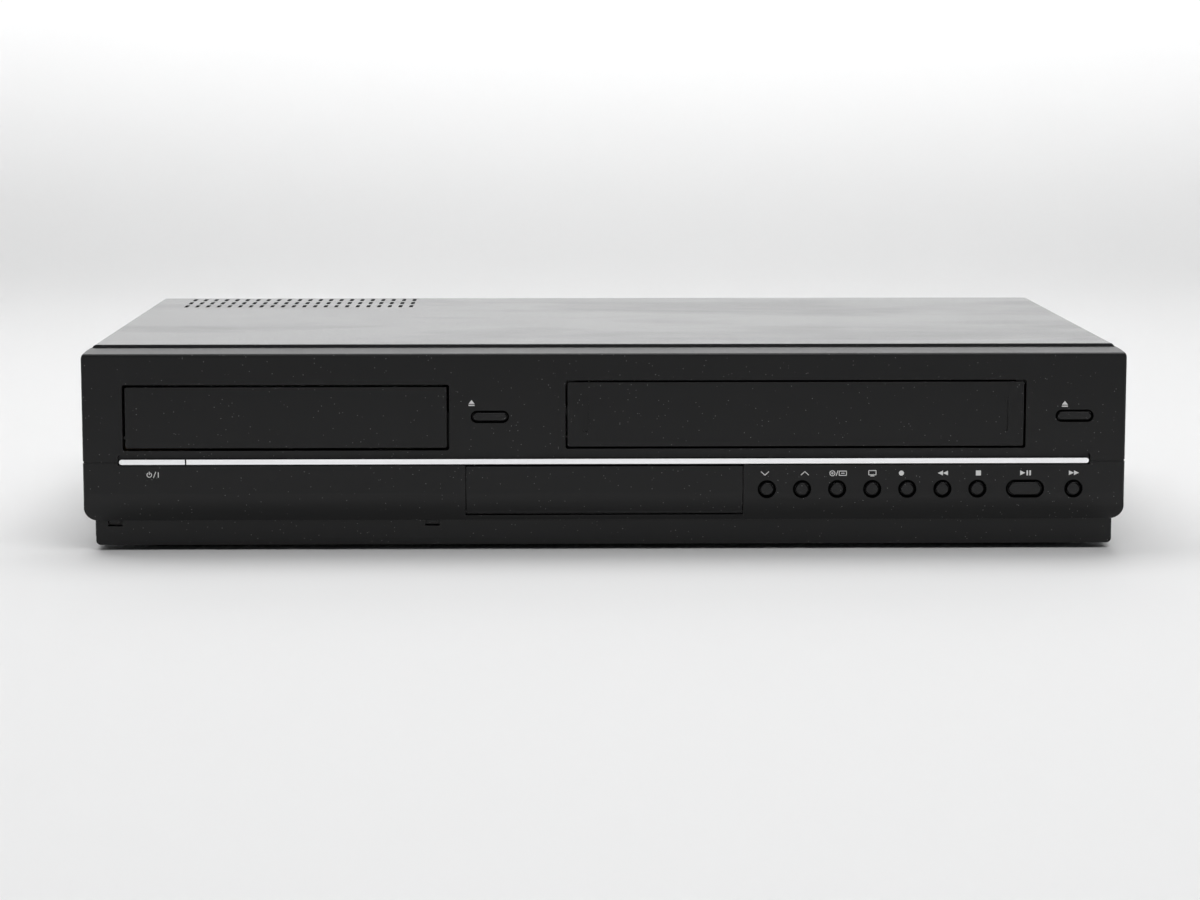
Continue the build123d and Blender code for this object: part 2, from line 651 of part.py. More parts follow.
def door_ears():
    """Ears behind the panel that carry the cassette door's pins."""
    ears = []
    for side in (-1, 1):
        inner = TAPE_X + side * (DOOR_HALF_W + GAP)
        x = sorted((inner, inner + side * DOOR_EAR_W))
        reach = DOOR_PIVOT_Y + DOOR_BOSS_R + 1
        ear = block(x, (WALL_IN_Y - 0.2, reach), (DOOR_PIVOT_Z - 4, DOOR_PIVOT_Z + DOOR_BOSS_R + 1))
        ears.append(ear - along_x(DOOR_PIVOT_Y, DOOR_PIVOT_Z, DOOR_PIN_R + RUNNING, (x[0] - 1, x[1] + 1)))
    return ears


def front_panel():
    shell = panel_form(0, PANEL_BACK_Y)
    shell -= panel_form(PANEL_WALL, PANEL_BACK_Y + 1)
    shell += panel_tongue()
    half = STRIP_END_X + 2
    backing_z = (STRIP_RECESS_Z0 - 1.4, STRIP_RECESS_Z1 + 1.4)
    shell += block((-half, half), (WALL_IN_Y - 0.5, BACKING_Y), backing_z)
    shell += collar(*disc_opening(), open_top=False)
    shell += collar(*tape_opening(), open_top=True)
    for piece in board_posts() + door_ears():
        shell += piece
    for x, z in (disc_opening(), tape_opening()):
        shell -= facing(rounded(x, z, 1.0), (FACE_Y - 1, WALL_IN_Y + 0.1))
    shell -= flap_opening()
    for cut in strip_cuts() + button_cuts() + flap_pins(FLAP_PIN_R + RUNNING, FLAP_PIN_L + GAP):
        shell -= cut
    for x in CLIP_X:
        tab_x = (x - CLIP_W / 2 + 0.8, x + CLIP_W / 2 - 0.8)
        tab_y = (PLINTH_Y + 0.5, PLINTH_Y + PLINTH_WALL - 0.3)
        shell += block(tab_x, tab_y, (PANEL_BOTTOM - CLIP_H + 1, PANEL_BOTTOM + 1))
    return shell


def trim_strip():
    """The chrome strip: round at its right end, square where it meets the power button."""
    bar = facing(pill(0, STRIP_Z, 2 * STRIP_END_X, STRIP_H), (FACE_Y + 0.1, STRIP_FLOOR_Y))
    cut_x = POWER_SPLIT_X + POWER_SPLIT_GAP / 2
    return bar & block((cut_x, WIDTH / 2), (FACE_Y, 0), (0, HEIGHT))


def power_button():
    """The strip's left end, on a stem that reaches its switch."""
    bar_back = STRIP_FLOOR_Y - TRAVEL - 0.2
    bar = facing(pill(0, STRIP_Z, 2 * STRIP_END_X, STRIP_H), (FACE_Y + 0.1, bar_back))
    bar &= block((-WIDTH / 2, POWER_SPLIT_X - POWER_SPLIT_GAP / 2), (FACE_Y, 0), (0, HEIGHT))
    half = STRIP_H / 2 - BUTTON_GAP
    return bar + block(power_stem_x(), (bar_back - 0.5, BUTTON_BACK_Y), (STRIP_Z - half, STRIP_Z + half))


def round_button(x):
    """A round key with a rounded top and the flange that keeps it in the panel."""
    flange = (BUTTON_BACK_Y - BUTTON_FLANGE_T, BUTTON_BACK_Y)
    body = along_y(x, KEY_Z, ROUND_R, (BUTTON_FRONT_Y, BUTTON_BACK_Y))
    body = fillet(body.edges().sort_by(Axis.Y)[0], 0.5)
    return body + along_y(x, KEY_Z, ROUND_R + BUTTON_FLANGE, flange)


def pill_button(x, z, width, height):
    """A long key with round ends."""
    flange = (BUTTON_BACK_Y - BUTTON_FLANGE_T, BUTTON_BACK_Y)
    body = facing(pill(x, z, width, height), (BUTTON_FRONT_Y, BUTTON_BACK_Y))
    body = fillet(body.faces().sort_by(Axis.Y)[0].edges(), 0.5)
    wide = 2 * BUTTON_FLANGE
    return body + facing(pill(x, z, width + wide, height + wide), flange)


def cassette_door():
    """The door, with grip grooves, two stiffening ribs and a pin at each end above it."""
    x = (TAPE_X - DOOR_HALF_W, TAPE_X + DOOR_HALF_W)
    door = facing(rounded(x, (DOOR_Z0, DOOR_Z1), 0.8), (CAP_FRONT_Y, DOOR_BACK_Y))
    for side in (-1, 1):
        middle = TAPE_X + side * (DOOR_HALF_W - GROOVE_IN)
        top = (DOOR_Z0 + DOOR_Z1) / 2 + GROOVE_H / 2
        groove = pill(0, 0, GROOVE_H, GROOVE_W)
        groove = Pos(middle, top - GROOVE_H / 2) * Rot(0, 0, 90) * groove
        door -= facing(groove, (CAP_FRONT_Y - 1, CAP_FRONT_Y + GROOVE_D))
        end = x[0] if side < 0 else x[1]
        arm_x = sorted((end, end - side * DOOR_EAR_W))
        arm = block(arm_x, (DOOR_BACK_Y - 0.4, DOOR_PIVOT_Y + DOOR_BOSS_R), (DOOR_Z1 - 4, DOOR_PIVOT_Z))
        front = DOOR_PIVOT_Y - DOOR_BOSS_R
        arm -= block((arm_x[0] - 1, arm_x[1] + 1), (FACE_Y, front), (DOOR_Z1, HEIGHT))
        arm += along_x(DOOR_PIVOT_Y, DOOR_PIVOT_Z, DOOR_BOSS_R, arm_x)
        pin_x = sorted((end, end + side * (GAP + DOOR_EAR_W)))
        door += arm + along_x(DOOR_PIVOT_Y, DOOR_PIVOT_Z, DOOR_PIN_R, pin_x)
    inner = (x[0] + DOOR_EAR_W + 2, x[1] - DOOR_EAR_W - 2)
    for z in (DOOR_Z0 + 3, (DOOR_Z0 + DOOR_Z1) / 2):
        door += block(inner, (DOOR_BACK_Y - 0.2, DOOR_BACK_Y + 0.8), (z - 0.6, z + 0.6))
    return door


def jack_door():
    """The lower flap: part of the panel's skin, with a rolled lower edge that carries its pins."""
    x = (FLAP_X - FLAP_W / 2, FLAP_X + FLAP_W / 2)
    outer = across(panel_section(0, PANEL_BACK_Y), x)
    skin = outer - across(panel_section(FLAP_T, PANEL_BACK_Y + 1), (x[0] - 1, x[1] + 1))
    skin &= block(x, (FACE_Y - 1, FLAP_PIVOT_Y + FLAP_T), (FLAP_PIVOT_Z, FLAP_Z1))
    skin += along_x(FLAP_PIVOT_Y, FLAP_PIVOT_Z, FLAP_T / 2, x)
    for pin in flap_pins(FLAP_PIN_R, FLAP_PIN_L):
        skin += pin
    return skin


def jack_xs():
    return FLAP_X - 18.0, FLAP_X, FLAP_X + 18.0


def jack_bay():
    """The moulded bay behind the flap, with holes for three sockets."""
    half = FLAP_W / 2 - GAP
    x = (FLAP_X - half - BAY_WALL, FLAP_X + half + BAY_WALL)
    shell = block(x, (BAY_FRONT_Y, BAY_BACK_Y), (BAY_Z0, BAY_Z1))
    shell -= block((x[0] - 1, x[1] + 1), (FACE_Y, FACE_Y + BAY_FLOOR_IN), (0, BAY_FLOOR_Z))
    shell -= block((x[0] + BAY_WALL, x[1] - BAY_WALL), (FACE_Y, BAY_BACK_Y - BAY_WALL),
                   (BAY_Z0 + BAY_WALL, BAY_Z1 - BAY_WALL))
    for jack_x in jack_xs():
        shell -= along_y(jack_x, (BAY_Z0 + BAY_Z1) / 2, PHONO_R + GAP / 2, (BAY_FRONT_Y, BAY_BACK_Y + 1))
    return shell


def phono(x, z, mouth_y, root_y):
    """One phono socket's barrel; the mouth may look either way along Y."""
    barrel = along_y(x, z, PHONO_R, sorted((mouth_y, root_y)))
    depth = PHONO_BORE_L if root_y > mouth_y else -PHONO_BORE_L
    return barrel - along_y(x, z, PHONO_BORE_R, sorted((mouth_y, mouth_y + depth)))


def front_jacks():
    z = (BAY_Z0 + BAY_Z1) / 2
    solids = []
    for x in jack_xs():
        body = block((x - 6, x + 6), (BAY_BACK_Y, BAY_BACK_Y + JACK_BODY_D), (z - 6, z + 6))
        mouth = BAY_BACK_Y - BAY_WALL - JACK_REACH
        solids.append(body - along_y(x, z, PHONO_BORE_R, (BAY_BACK_Y - 1, mouth + PHONO_BORE_L))
                      + phono(x, z, mouth, BAY_BACK_Y))
    return group(*solids)


def switch_places():
    """Where the switches are, each behind its button."""
    power = sum(power_stem_x()) / 2
    keys = [(x, KEY_Z) for x in KEY_XS] + [(PLAY_X, KEY_Z)]
    return [(power, STRIP_Z), (OPEN_KEY_X, PILL_Z), (EJECT_KEY_X, PILL_Z)] + keys


def tact_switches():
    half = SWITCH_BODY / 2
    solids = []
    for x, z in switch_places():
        body = block((x - half, x + half), (BOARD_Y - SWITCH_DEPTH, BOARD_Y), (z - half, z + half))
        solids.append(body + along_y(x, z, PLUNGER_R, (PLUNGER_Y, BOARD_Y - SWITCH_DEPTH)))
    return group(*solids)


def front_boards():
    """Switch boards for power, tray and keys, and the board behind the front sockets."""
    y = (BOARD_Y, BOARD_Y + BOARD_T)
    power_x = switch_places()[0][0]
    left = block((power_x - 16, power_x + 14), y, (29.0, STRIP_Z + 6))
    middle = block((OPEN_KEY_X - 13, OPEN_KEY_X + 19), y, (PILL_Z - 7, PILL_Z + 8))
    right = block((KEY_X0 - 4.5, LAST_KEY_X + 11), y, (KEY_Z - 9.3, KEY_Z + 8))
    right += block((EJECT_KEY_X - 9, LAST_KEY_X + 11), y, (KEY_Z + 8, PILL_Z + 12))
    socket_y = BAY_BACK_Y + JACK_BODY_D
    sockets = block((FLAP_X - 28, FLAP_X + 28), (socket_y, socket_y + BOARD_T), (BAY_Z0, BAY_Z1))
    return group(left, middle, right, sockets)


# ---- Steel case -----------------------------------------------------------------------------------------
def front_plinth():
    """The set-back moulding under the panel, open to the back, with the two clip windows."""
    half = PAN_HALF_W
    top = PANEL_BOTTOM - GAP / 2
    outline = rounded((-half, half), (PLINTH_BOTTOM, top + 3), PLINTH_CORNER_R)
    body = facing(outline, (PLINTH_Y, PAN_FRONT_Y)) & block((-half, half), (PLINTH_Y, PAN_FRONT_Y), (0, top))
    body -= block((-half + PLINTH_WALL, half - PLINTH_WALL), (PLINTH_Y + PLINTH_WALL, PAN_FRONT_Y + 1),
                  (PAN_TOP, top - PLINTH_WALL))
    for x in CLIP_X:
        body -= block((x - CLIP_W / 2, x + CLIP_W / 2), (PLINTH_Y - 1, PLINTH_Y + PLINTH_WALL + 0.2),
                      (PANEL_BOTTOM - CLIP_H, top + 1))
    return body


def loader_posts():
    xs = [DISC_X + side * (TRAY_HALF_W + LOADER_WALL + GAP + LOADER_FOOT_W / 2) for side in (-1, 1)]
    return [(x, y) for x in xs for y in (LOADER_FRONT_Y + 15, LOADER_BACK_Y - 24)]


def deck_posts():
    return [(x, y) for x in (DECK_X0 + 6, DECK_X1 - 6) for y in (DECK_Y0 + 10, DECK_Y1 - 8)]


def bottom_pan():
    """The folded pan with side flanges, pressed ribs and the posts that the units stand on."""
    back = REAR_FACE_Y - SHEET - 0.1
    pan = block((-PAN_HALF_W, PAN_HALF_W), (PAN_FRONT_Y, back), (FOOT_H, PAN_TOP))
    for side in (-1, 1):
        x = sorted((side * PAN_HALF_W, side * (PAN_HALF_W - PAN_T)))
        pan += block(x, (PAN_FRONT_Y, back), (FOOT_H, FOOT_H + PAN_SIDE_H))
    pan += block((-PAN_HALF_W, PAN_HALF_W), (PAN_FRONT_Y, PAN_FRONT_Y + PAN_T), (FOOT_H, PANEL_BOTTOM - 1))
    for x, y in loader_posts():
        pan += upright(x, y, 3.2, (FOOT_H, LOADER_Z0))
    for x, y in deck_posts():
        pan += upright(x, y, 3.2, (FOOT_H, DECK_Z))
    for x, y in main_board_posts() + power_board_posts():
        pan += upright(x, y, 2.5, (FOOT_H, MAIN_BOARD_Z))
    for y in (PAN_FRONT_Y + 24, DISC_Y + 40, LOADER_BACK_Y - 4):
        rib = block((-PAN_HALF_W + RIB_END, PAN_HALF_W - RIB_END), (y - RIB_W / 2, y + RIB_W / 2),
                    (PAN_TOP - 0.2, PAN_TOP + RIB_H))
        pan += chamfer(rib.edges().group_by(Axis.Z)[-1], RIB_H * 0.9)
    slots = Sketch() + [Pos(NECK_MID - 36 - i * PAN_SLOT_PITCH, POWER_BOARD_Y + POWER_BOARD_L / 2)
                        * Rot(0, 0, 90) * SlotOverall(PAN_SLOT_L, PAN_SLOT_W) for i in range(PAN_SLOTS)]
    return pan - lying(slots, (0, PAN_TOP + 0.1))


def rubber_feet():
    feet = []
    for x in (-FOOT_X, FOOT_X):
        for y in (-FOOT_Y, FOOT_Y):
            foot = upright(x, y, FOOT_R, (0, FOOT_H))
            feet.append(chamfer(foot.edges().sort_by(Axis.Z)[0], 0.8))
    return group(*feet)


def vent_cuts():
    """Slots in rows at the cover's rear left."""
    slot = Rot(0, 0, 90) * SlotOverall(VENT_L, VENT_W)
    sketch = Sketch() + [Pos(VENT_X0 + i * VENT_PITCH_X, VENT_Y0 + j * VENT_PITCH_Y) * slot
                         for i in range(VENT_COLUMNS) for j in range(VENT_ROWS)]
    return lying(sketch, (COVER_IN_Z - 1, HEIGHT + 1))


def side_screws():
    return [(y, FOOT_H + PAN_SIDE_H / 2 + 2) for y in (-DEPTH / 4, DEPTH / 3)]


def rear_screws():
    end = CASE_WIDTH / 2 - 14
    return [(x, HEIGHT - REAR_FLANGE / 2 - 0.6) for x in (-end, 0.0, end)]


def top_cover():
    """The bent cover: a top with two sides, a folded front lip and a rear flange."""
    half = CASE_WIDTH / 2
    outer = rounded((-half, half), (COVER_SKIRT_Z - 10, HEIGHT), COVER_BEND_R)
    inner = rounded((-COVER_IN_X, COVER_IN_X), (COVER_SKIRT_Z - 12, COVER_IN_Z), COVER_BEND_R - SHEET)
    keep = block((-half, half), (COVER_FRONT_Y, COVER_BACK_Y), (COVER_SKIRT_Z, HEIGHT))
    shell = facing(outer - inner, (COVER_FRONT_Y, COVER_BACK_Y)) & keep
    lip_x = (-COVER_IN_X + COVER_BEND_R, COVER_IN_X - COVER_BEND_R)
    shell += block(lip_x, (COVER_FRONT_Y, COVER_FRONT_Y + SHEET), (HEIGHT - COVER_LIP, COVER_IN_Z))
    shell += block((-COVER_IN_X, COVER_IN_X), (REAR_FACE_Y, COVER_BACK_Y), (HEIGHT - REAR_FLANGE, COVER_IN_Z))
    shell -= vent_cuts()
    for y, z in side_screws():
        shell -= along_x(y, z, SCREW_R + 0.2, (-half - 1, half + 1))
    for x, z in rear_screws():
        shell -= along_y(x, z, SCREW_R + 0.2, (REAR_FACE_Y - 1, BACK_Y))
    return shell


def case_screws():
    """Pan-head screws through the cover's sides and rear flange."""
    solids = []
    half = CASE_WIDTH / 2
    for side in (-1, 1):
        for y, z in side_screws():
            head = along_x(y, z, SCREW_HEAD_R, sorted((side * half, side * (half + SCREW_HEAD_T))))
            shank = along_x(y, z, SCREW_R, sorted((side * (PAN_HALF_W + 0.1), side * half)))
            solids.append(head + shank)
    for x, z in rear_screws():
        head = along_y(x, z, SCREW_HEAD_R, (COVER_BACK_Y, COVER_BACK_Y + SCREW_HEAD_T))
        solids.append(head + along_y(x, z, SCREW_R, (REAR_FACE_Y + 0.1, COVER_BACK_Y)))
    return group(*solids)


# ---- Rear panel and what it carries ---------------------------------------------------------------------
def phono_places():
    """Three sockets to a column, but the last column holds one."""
    places = []
    for column, x in enumerate(PHONO_COLUMNS):
        rows = 1 if column == len(PHONO_COLUMNS) - 1 else 3
        places.append([(x, PHONO_BASE_Z + row * PHONO_PITCH) for row in range(rows)])
    return places


def inlet_sketch(extra=0.0):
    """The figure-8 mouth of the mains inlet."""
    return Pos(INLET_X, INLET_Z) * SlotOverall(16.0 + 2 * extra, 9.0 + 2 * extra)


def rear_panel():
    half = PAN_HALF_W
    y = (REAR_FACE_Y - SHEET, REAR_FACE_Y)
    plate = block((-half, half), y, (FOOT_H, COVER_IN_Z - GAP))
    cut_y = (y[0] - 1, y[1] + 1)
    for column in phono_places():
        for x, z in column:
            plate -= along_y(x, z, PHONO_R + 0.3, cut_y)
    for side in (-0.5, 0.5):
        plate -= along_y(AERIAL_X + side * AERIAL_PITCH, AERIAL_Z, AERIAL_R + 0.3, cut_y)
    plate -= facing(Pos(INLET_X, INLET_Z) * Rectangle(22.6, 15.6), cut_y)
    plate -= along_y(SVIDEO_X, PHONO_BASE_Z, 6.0, cut_y)
    plate -= facing(Pos(DIGITAL_X, PHONO_BASE_Z) * Rectangle(16.6, 6.8), cut_y)
    plate -= facing(Pos(OPTICAL_X, PHONO_BASE_Z) * Rectangle(9.4, 9.4), cut_y)
    return plate


def rear_sockets():
    """Phono columns, and the round, flat and optical sockets for digital leads."""
    solids = []
    inside = REAR_IN_Y
    for column in phono_places():
        x = column[0][0]
        low, high = column[0][1] - 6.5, column[-1][1] + 6.5
        y = (inside - PHONO_BLOCK_D, inside)
        body = block((x - PHONO_BLOCK / 2, x + PHONO_BLOCK / 2), y, (low, high))
        body += block((x - 5, x + 5), y, (MAIN_BOARD_Z + BOARD_T, low + 1))
        for _, z in column:
            body += along_y(x, z, PHONO_R, (inside - 1, BACK_Y))
            body -= along_y(x, z, PHONO_BORE_R, (BACK_Y - PHONO_BORE_L, BACK_Y + 1))
        solids.append(body)
    low = MAIN_BOARD_Z + BOARD_T
    video = block((SVIDEO_X - 7, SVIDEO_X + 7), (inside - 9, inside), (low, PHONO_BASE_Z + 7))
    video += along_y(SVIDEO_X, PHONO_BASE_Z, 5.7, (inside - 1, REAR_FACE_Y + 1))
    video -= along_y(SVIDEO_X, PHONO_BASE_Z, 4.6, (REAR_FACE_Y - 5, BACK_Y))
    flat = block((DIGITAL_X - 8, DIGITAL_X + 8), (inside - 11, REAR_FACE_Y + 0.8), (low, PHONO_BASE_Z + 3.1))
    flat -= block((DIGITAL_X - 9, DIGITAL_X + 9), (inside, BACK_Y), (low - 1, PHONO_BASE_Z - 3.1))
    flat -= facing(Pos(DIGITAL_X, PHONO_BASE_Z) * Rectangle(14.0, 4.4), (REAR_FACE_Y - 6, BACK_Y))
    optical = block((OPTICAL_X - 4.5, OPTICAL_X + 4.5), (inside - 11, REAR_FACE_Y + 0.8),
                    (low, PHONO_BASE_Z + 4.5))
    optical -= block((OPTICAL_X - 5, OPTICAL_X + 5), (inside, BACK_Y), (low - 1, PHONO_BASE_Z - 4.5))
    optical -= facing(Pos(OPTICAL_X, PHONO_BASE_Z) * Rectangle(5.6, 5.6), (REAR_FACE_Y - 4, BACK_Y))
    return group(*solids, video, flat, optical)


def ac_inlet():
    """The mains inlet: a housing with a figure-8 mouth and two pins."""
    inside = REAR_IN_Y
    body = block((INLET_X - 14, INLET_X + 14), (inside - 12, inside), (POWER_BOARD_Z + BOARD_T, INLET_Z + 9))
    body += facing(Pos(INLET_X, INLET_Z) * RectangleRounded(22.0, 15.0, 3.0), (inside - 1, REAR_FACE_Y + 1.6))
    body -= facing(inlet_sketch(), (inside - 8, BACK_Y))
    for side in (-4.3, 4.3):
        body += along_y(INLET_X + side, INLET_Z, 1.2, (inside - 9, REAR_FACE_Y - 1))
    return body


def aerial_box():
    """The screened box with two coaxial sockets."""
    inside = REAR_IN_Y
    width, depth, height = AERIAL_BOX
    low = MAIN_BOARD_Z + BOARD_T
    body = block((AERIAL_X - width / 2, AERIAL_X + width / 2), (inside - depth, inside), (low, low + height))
    for side in (-0.5, 0.5):
        x = AERIAL_X + side * AERIAL_PITCH
        body += along_y(x, AERIAL_Z, AERIAL_R, (inside - 1, BACK_Y))
        body -= along_y(x, AERIAL_Z, 1.4, (REAR_FACE_Y, BACK_Y + 1))
    return body


# ---- Boards ---------------------------------------------------------------------------------------------
def main_board_posts():
    front, back, rear = DISC_Y - 12, LOADER_BACK_Y - 14, BOARD_BACK_Y - 9
    return [(DISC_X - 50, front), (DISC_X + 50, front), (DISC_X - 50, back), (NECK_MID, back), (NECK_MID, rear),
            (BOARD_END_X - 10, rear)]


def power_board_posts():
    xs = (POWER_BOARD_X[0] + 7, POWER_BOARD_X[1] - 7)
    return [(x, y) for x in xs for y in (POWER_BOARD_Y + 6, BOARD_BACK_Y - 6)]


def main_board():
    """One board that runs under the loader and reaches the rear sockets."""
    z = (MAIN_BOARD_Z, MAIN_BOARD_Z + BOARD_T)
    back = LOADER_BACK_Y - 3
    board = block((DISC_X - BOARD_HALF_W, DISC_X + BOARD_HALF_W), (LOADER_FRONT_Y + 12, back), z)
    board += block((DISC_X, NECK_X[1]), (back - 17, back), z)
    board += block(NECK_X, (back - 17, BOARD_BACK_Y), z)
    return board + block((NECK_X[0], BOARD_END_X), (JACK_STRIP_Y, BOARD_BACK_Y), z)


def power_board():
    z = (POWER_BOARD_Z, POWER_BOARD_Z + BOARD_T)
    return block(POWER_BOARD_X, (POWER_BOARD_Y, POWER_BOARD_Y + POWER_BOARD_L), z)


def board_parts():
    """The larger components: transformer, reservoir capacitors, heat sink, chips and a screened module."""
    top = POWER_BOARD_Z + BOARD_T
    x0, y0 = POWER_BOARD_X[0], POWER_BOARD_Y
    core = block((x0 + 67, x0 + 93), (y0 + 10, y0 + 38), (top, top + 24))
    for y in (y0 + 9, y0 + 32):
        core -= block((x0 + 73, x0 + 87), (y, y + 7), (top + 5, top + 19))
    large = fillet(upright(x0 + 49, y0 + 26, 11.0, (top, top + 30)).edges().sort_by(Axis.Z)[-1], 1.0)
    small = [fillet(upright(x0 + x, y0 + 14, 5.0, (top, top + 16)).edges().sort_by(Axis.Z)[-1], 0.8)
             for x in (103, 116, 129)]
    sink = block((x0 + 97, x0 + 118), (y0 + 33, y0 + 34.5), (top, top + 32))
    for fin in range(4):
        x = x0 + 98 + fin * 6.0
        sink += block((x, x + 1.2), (y0 + 34, y0 + 42), (top, top + 32))
    fuse = along_x(y0 + 8, top + 4.0, 3.0, (x0 + 7, x0 + 29))
    for x in (x0 + 8, x0 + 25):
        fuse += block((x, x + 3), (y0 + 4.5, y0 + 11.5), (top, top + 4))
    z = MAIN_BOARD_Z + BOARD_T
    chips = [block((DISC_X + x, DISC_X + x + size), (DISC_Y + y, DISC_Y + y + size), (z, z + 2.2))
             for x, y, size in ((-34, 8, 24), (6, 14, 16), (-28, 56, 18), (10, 58, 12), (-44, -28, 10))]
    half = (NECK_X[1] - NECK_X[0]) * 0.3125
    module = block((NECK_MID - half, NECK_MID + half), (LOADER_BACK_Y - 4, LOADER_BACK_Y + 22), (z, z + 6))
    return group(core, large, *small, sink, fuse, *chips, module)


# ---- Disc loader ----------------------------------------------------------------------------------------
def rack_teeth_outline():
    """Straight-sided teeth along the tray, pointing at the pinion, drawn in X and Y."""
    pitch = pi * MODULE
    lean = tan(radians(PRESSURE_ANGLE))
    line_x = DISC_X + RACK_X
    tip_x = line_x - 0.9 * MODULE
    root_x = line_x + 1.15 * MODULE
    half_pitch_line = pitch / 4 - BACKLASH / 2
    half_tip = half_pitch_line - lean * (line_x - tip_x)
    half_root = half_pitch_line + lean * (root_x - line_x)
    count = int((TRAY_TRAVEL + 2 * PINION_R) / pitch)
    first = GEAR_Y - PINION_R / 2
    first = GEAR_Y - pitch * round((GEAR_Y - first) / pitch)
    teeth = []
    for index in range(count):
        y = first + pitch * index
        sides = [(root_x + 0.2, half_root), (root_x, half_root), (tip_x, half_tip)]
        points = [(x, y - half) for x, half in sides] + [(x, y + half) for x, half in reversed(sides)]
        teeth.append(make_face(Polyline(*points, close=True)))
    back = (first - pitch / 2, first + pitch * (count - 0.5))
    outer_x = line_x + RACK_BODY
    body = Pos((root_x + outer_x) / 2, sum(back) / 2) * Rectangle(outer_x - root_x, back[1] - back[0])
    return Sketch() + [body] + teeth


def involute(base_r, r):
    """The angle in radians that an involute has turned through at a radius."""
    turn = sqrt(max((r / base_r) ** 2 - 1, 0))
    return turn - atan2(turn, 1)


def pinion_sketch():
    """Involute teeth; a gap, not a tooth, faces the rack's tooth at rest."""
    pressure = radians(PRESSURE_ANGLE)
    base = PINION_R * cos(pressure)
    tip = PINION_R + 0.9 * MODULE
    root = PINION_R - 1.2 * MODULE
    half_tooth = (pi / 2 - BACKLASH / MODULE) / PINION_TEETH
    at_pitch = involute(base, PINION_R)
    steps = [max(base, root) + (tip - max(base, root)) * i / 4 for i in range(5)]
    flank = [(r, half_tooth + at_pitch - involute(base, r)) for r in steps]
    flank = [(root, flank[0][1])] + flank
    points = []
    for tooth in range(PINION_TEETH):
        middle = 2 * pi * (tooth + 0.5) / PINION_TEETH
        side = [(r, middle - a) for r, a in flank] + [(r, middle + a) for r, a in reversed(flank)]
        points += [(r * cos(a), r * sin(a)) for r, a in side]
    return Pos(GEAR_X, GEAR_Y) * make_face(Polyline(*points, close=True))


def disc_tray():
    """The tray, with wells for two disc sizes, the slot for the turntable, side runners and the rack."""
    x = (DISC_X - TRAY_HALF_W, DISC_X + TRAY_HALF_W)
    outline = RectangleRounded(2 * TRAY_HALF_W, TRAY_BACK_Y - CAP_BACK_Y, TRAY_CORNER_R)
    middle = (CAP_BACK_Y + TRAY_BACK_Y) / 2
    tray = lying(Pos(DISC_X, middle) * outline, (TRAY_PLATE_Z, TRAY_RIM_Z))
    lip = (x[0] + TRAY_CORNER_R, x[1] - TRAY_CORNER_R)
    tray += block(lip, (CAP_BACK_Y, CAP_BACK_Y + 3), (RUNNER_Z, TRAY_RIM_Z))
    tray -= upright(DISC_X, DISC_Y, WELL_R, (WELL_Z, HEIGHT))
    tray -= upright(DISC_X, DISC_Y, SMALL_WELL_R, (SMALL_WELL_Z, HEIGHT))
    for side in (-1, 1):
        notch = (DISC_X + side * WELL_R * 0.72, DISC_Y - WELL_R * 0.76)
        tray -= upright(*notch, NOTCH_R, (WELL_Z, HEIGHT))
    for side in (-1, 1):
        edge = DISC_X + side * TRAY_HALF_W
        runner = sorted((edge, edge - side * RUNNER_W))
        tray += block(runner, (CAP_BACK_Y + TRAY_CORNER_R, TRAY_BACK_Y - TRAY_CORNER_R), (RUNNER_Z, TRAY_PLATE_Z))
    back_y = (DISC_Y + WELL_R + 3, TRAY_BACK_Y - 4)
    tray -= lying(rounded((x[0] + 6, x[1] - 6), back_y, 4.0), (WELL_Z, HEIGHT))
    slot = Pos(DISC_X, DISC_Y) * Circle(TRAY_SLOT_R)
    slot += Pos(DISC_X, DISC_Y + TRAY_SLOT_L / 2) * Rectangle(TRAY_SLOT_W, TRAY_SLOT_L)
    tray -= lying(slot, (0, HEIGHT))
    return tray + lying(rack_teeth_outline(), (RACK_Z0, TRAY_PLATE_Z + 0.5))


def tray_cap():
    """The tray's front, seen in the panel, with a hook at its left edge."""
    half = DISC_OPEN_W / 2 - CAP_GAP
    x = (DISC_X - half, DISC_X + half)
    z = (DISC_OPEN_Z0 + CAP_GAP, DISC_OPEN_Z1 - CAP_GAP)
    cap = facing(rounded(x, z, 0.8), (CAP_FRONT_Y, CAP_BACK_Y))
    hook_z = z[0] + 3.6
    cap += block((x[0] - CAP_GAP + 0.3, x[0] + 1), (CAP_FRONT_Y + 0.6, CAP_BACK_Y), (hook_z, hook_z + 1.2))
    for side in (-1, 1):
        rib_x = DISC_X + side * (TRAY_HALF_W - 10)
        cap += block((rib_x - 0.6, rib_x + 0.6), (CAP_BACK_Y - 0.2, CAP_BACK_Y + 2.5), (TRAY_RIM_Z, z[1] - 2))
    return cap


def tray_gear():
    """The pinion in mesh with the tray's rack, above the belt wheel that drives it."""
    wheel_top = WHEEL_Z0 + WHEEL_T
    belt_z = WHEEL_Z0 + WHEEL_T / 2
    groove = BELT_W / 2 + 0.1
    wheel = upright(GEAR_X, GEAR_Y, WHEEL_R + 1, (WHEEL_Z0, wheel_top))
    ring = upright(GEAR_X, GEAR_Y, WHEEL_R + 2, (belt_z - groove, belt_z + groove))
    wheel -= ring - upright(GEAR_X, GEAR_Y, WHEEL_R, (WHEEL_Z0, wheel_top))
    gear = wheel + lying(pinion_sketch(), (wheel_top, TRAY_PLATE_Z - GAP))
    return gear - upright(GEAR_X, GEAR_Y, GEAR_PIN_R + RUNNING, (0, HEIGHT))


def motor_place():
    return DISC_X + MOTOR_X, MOTOR_Y


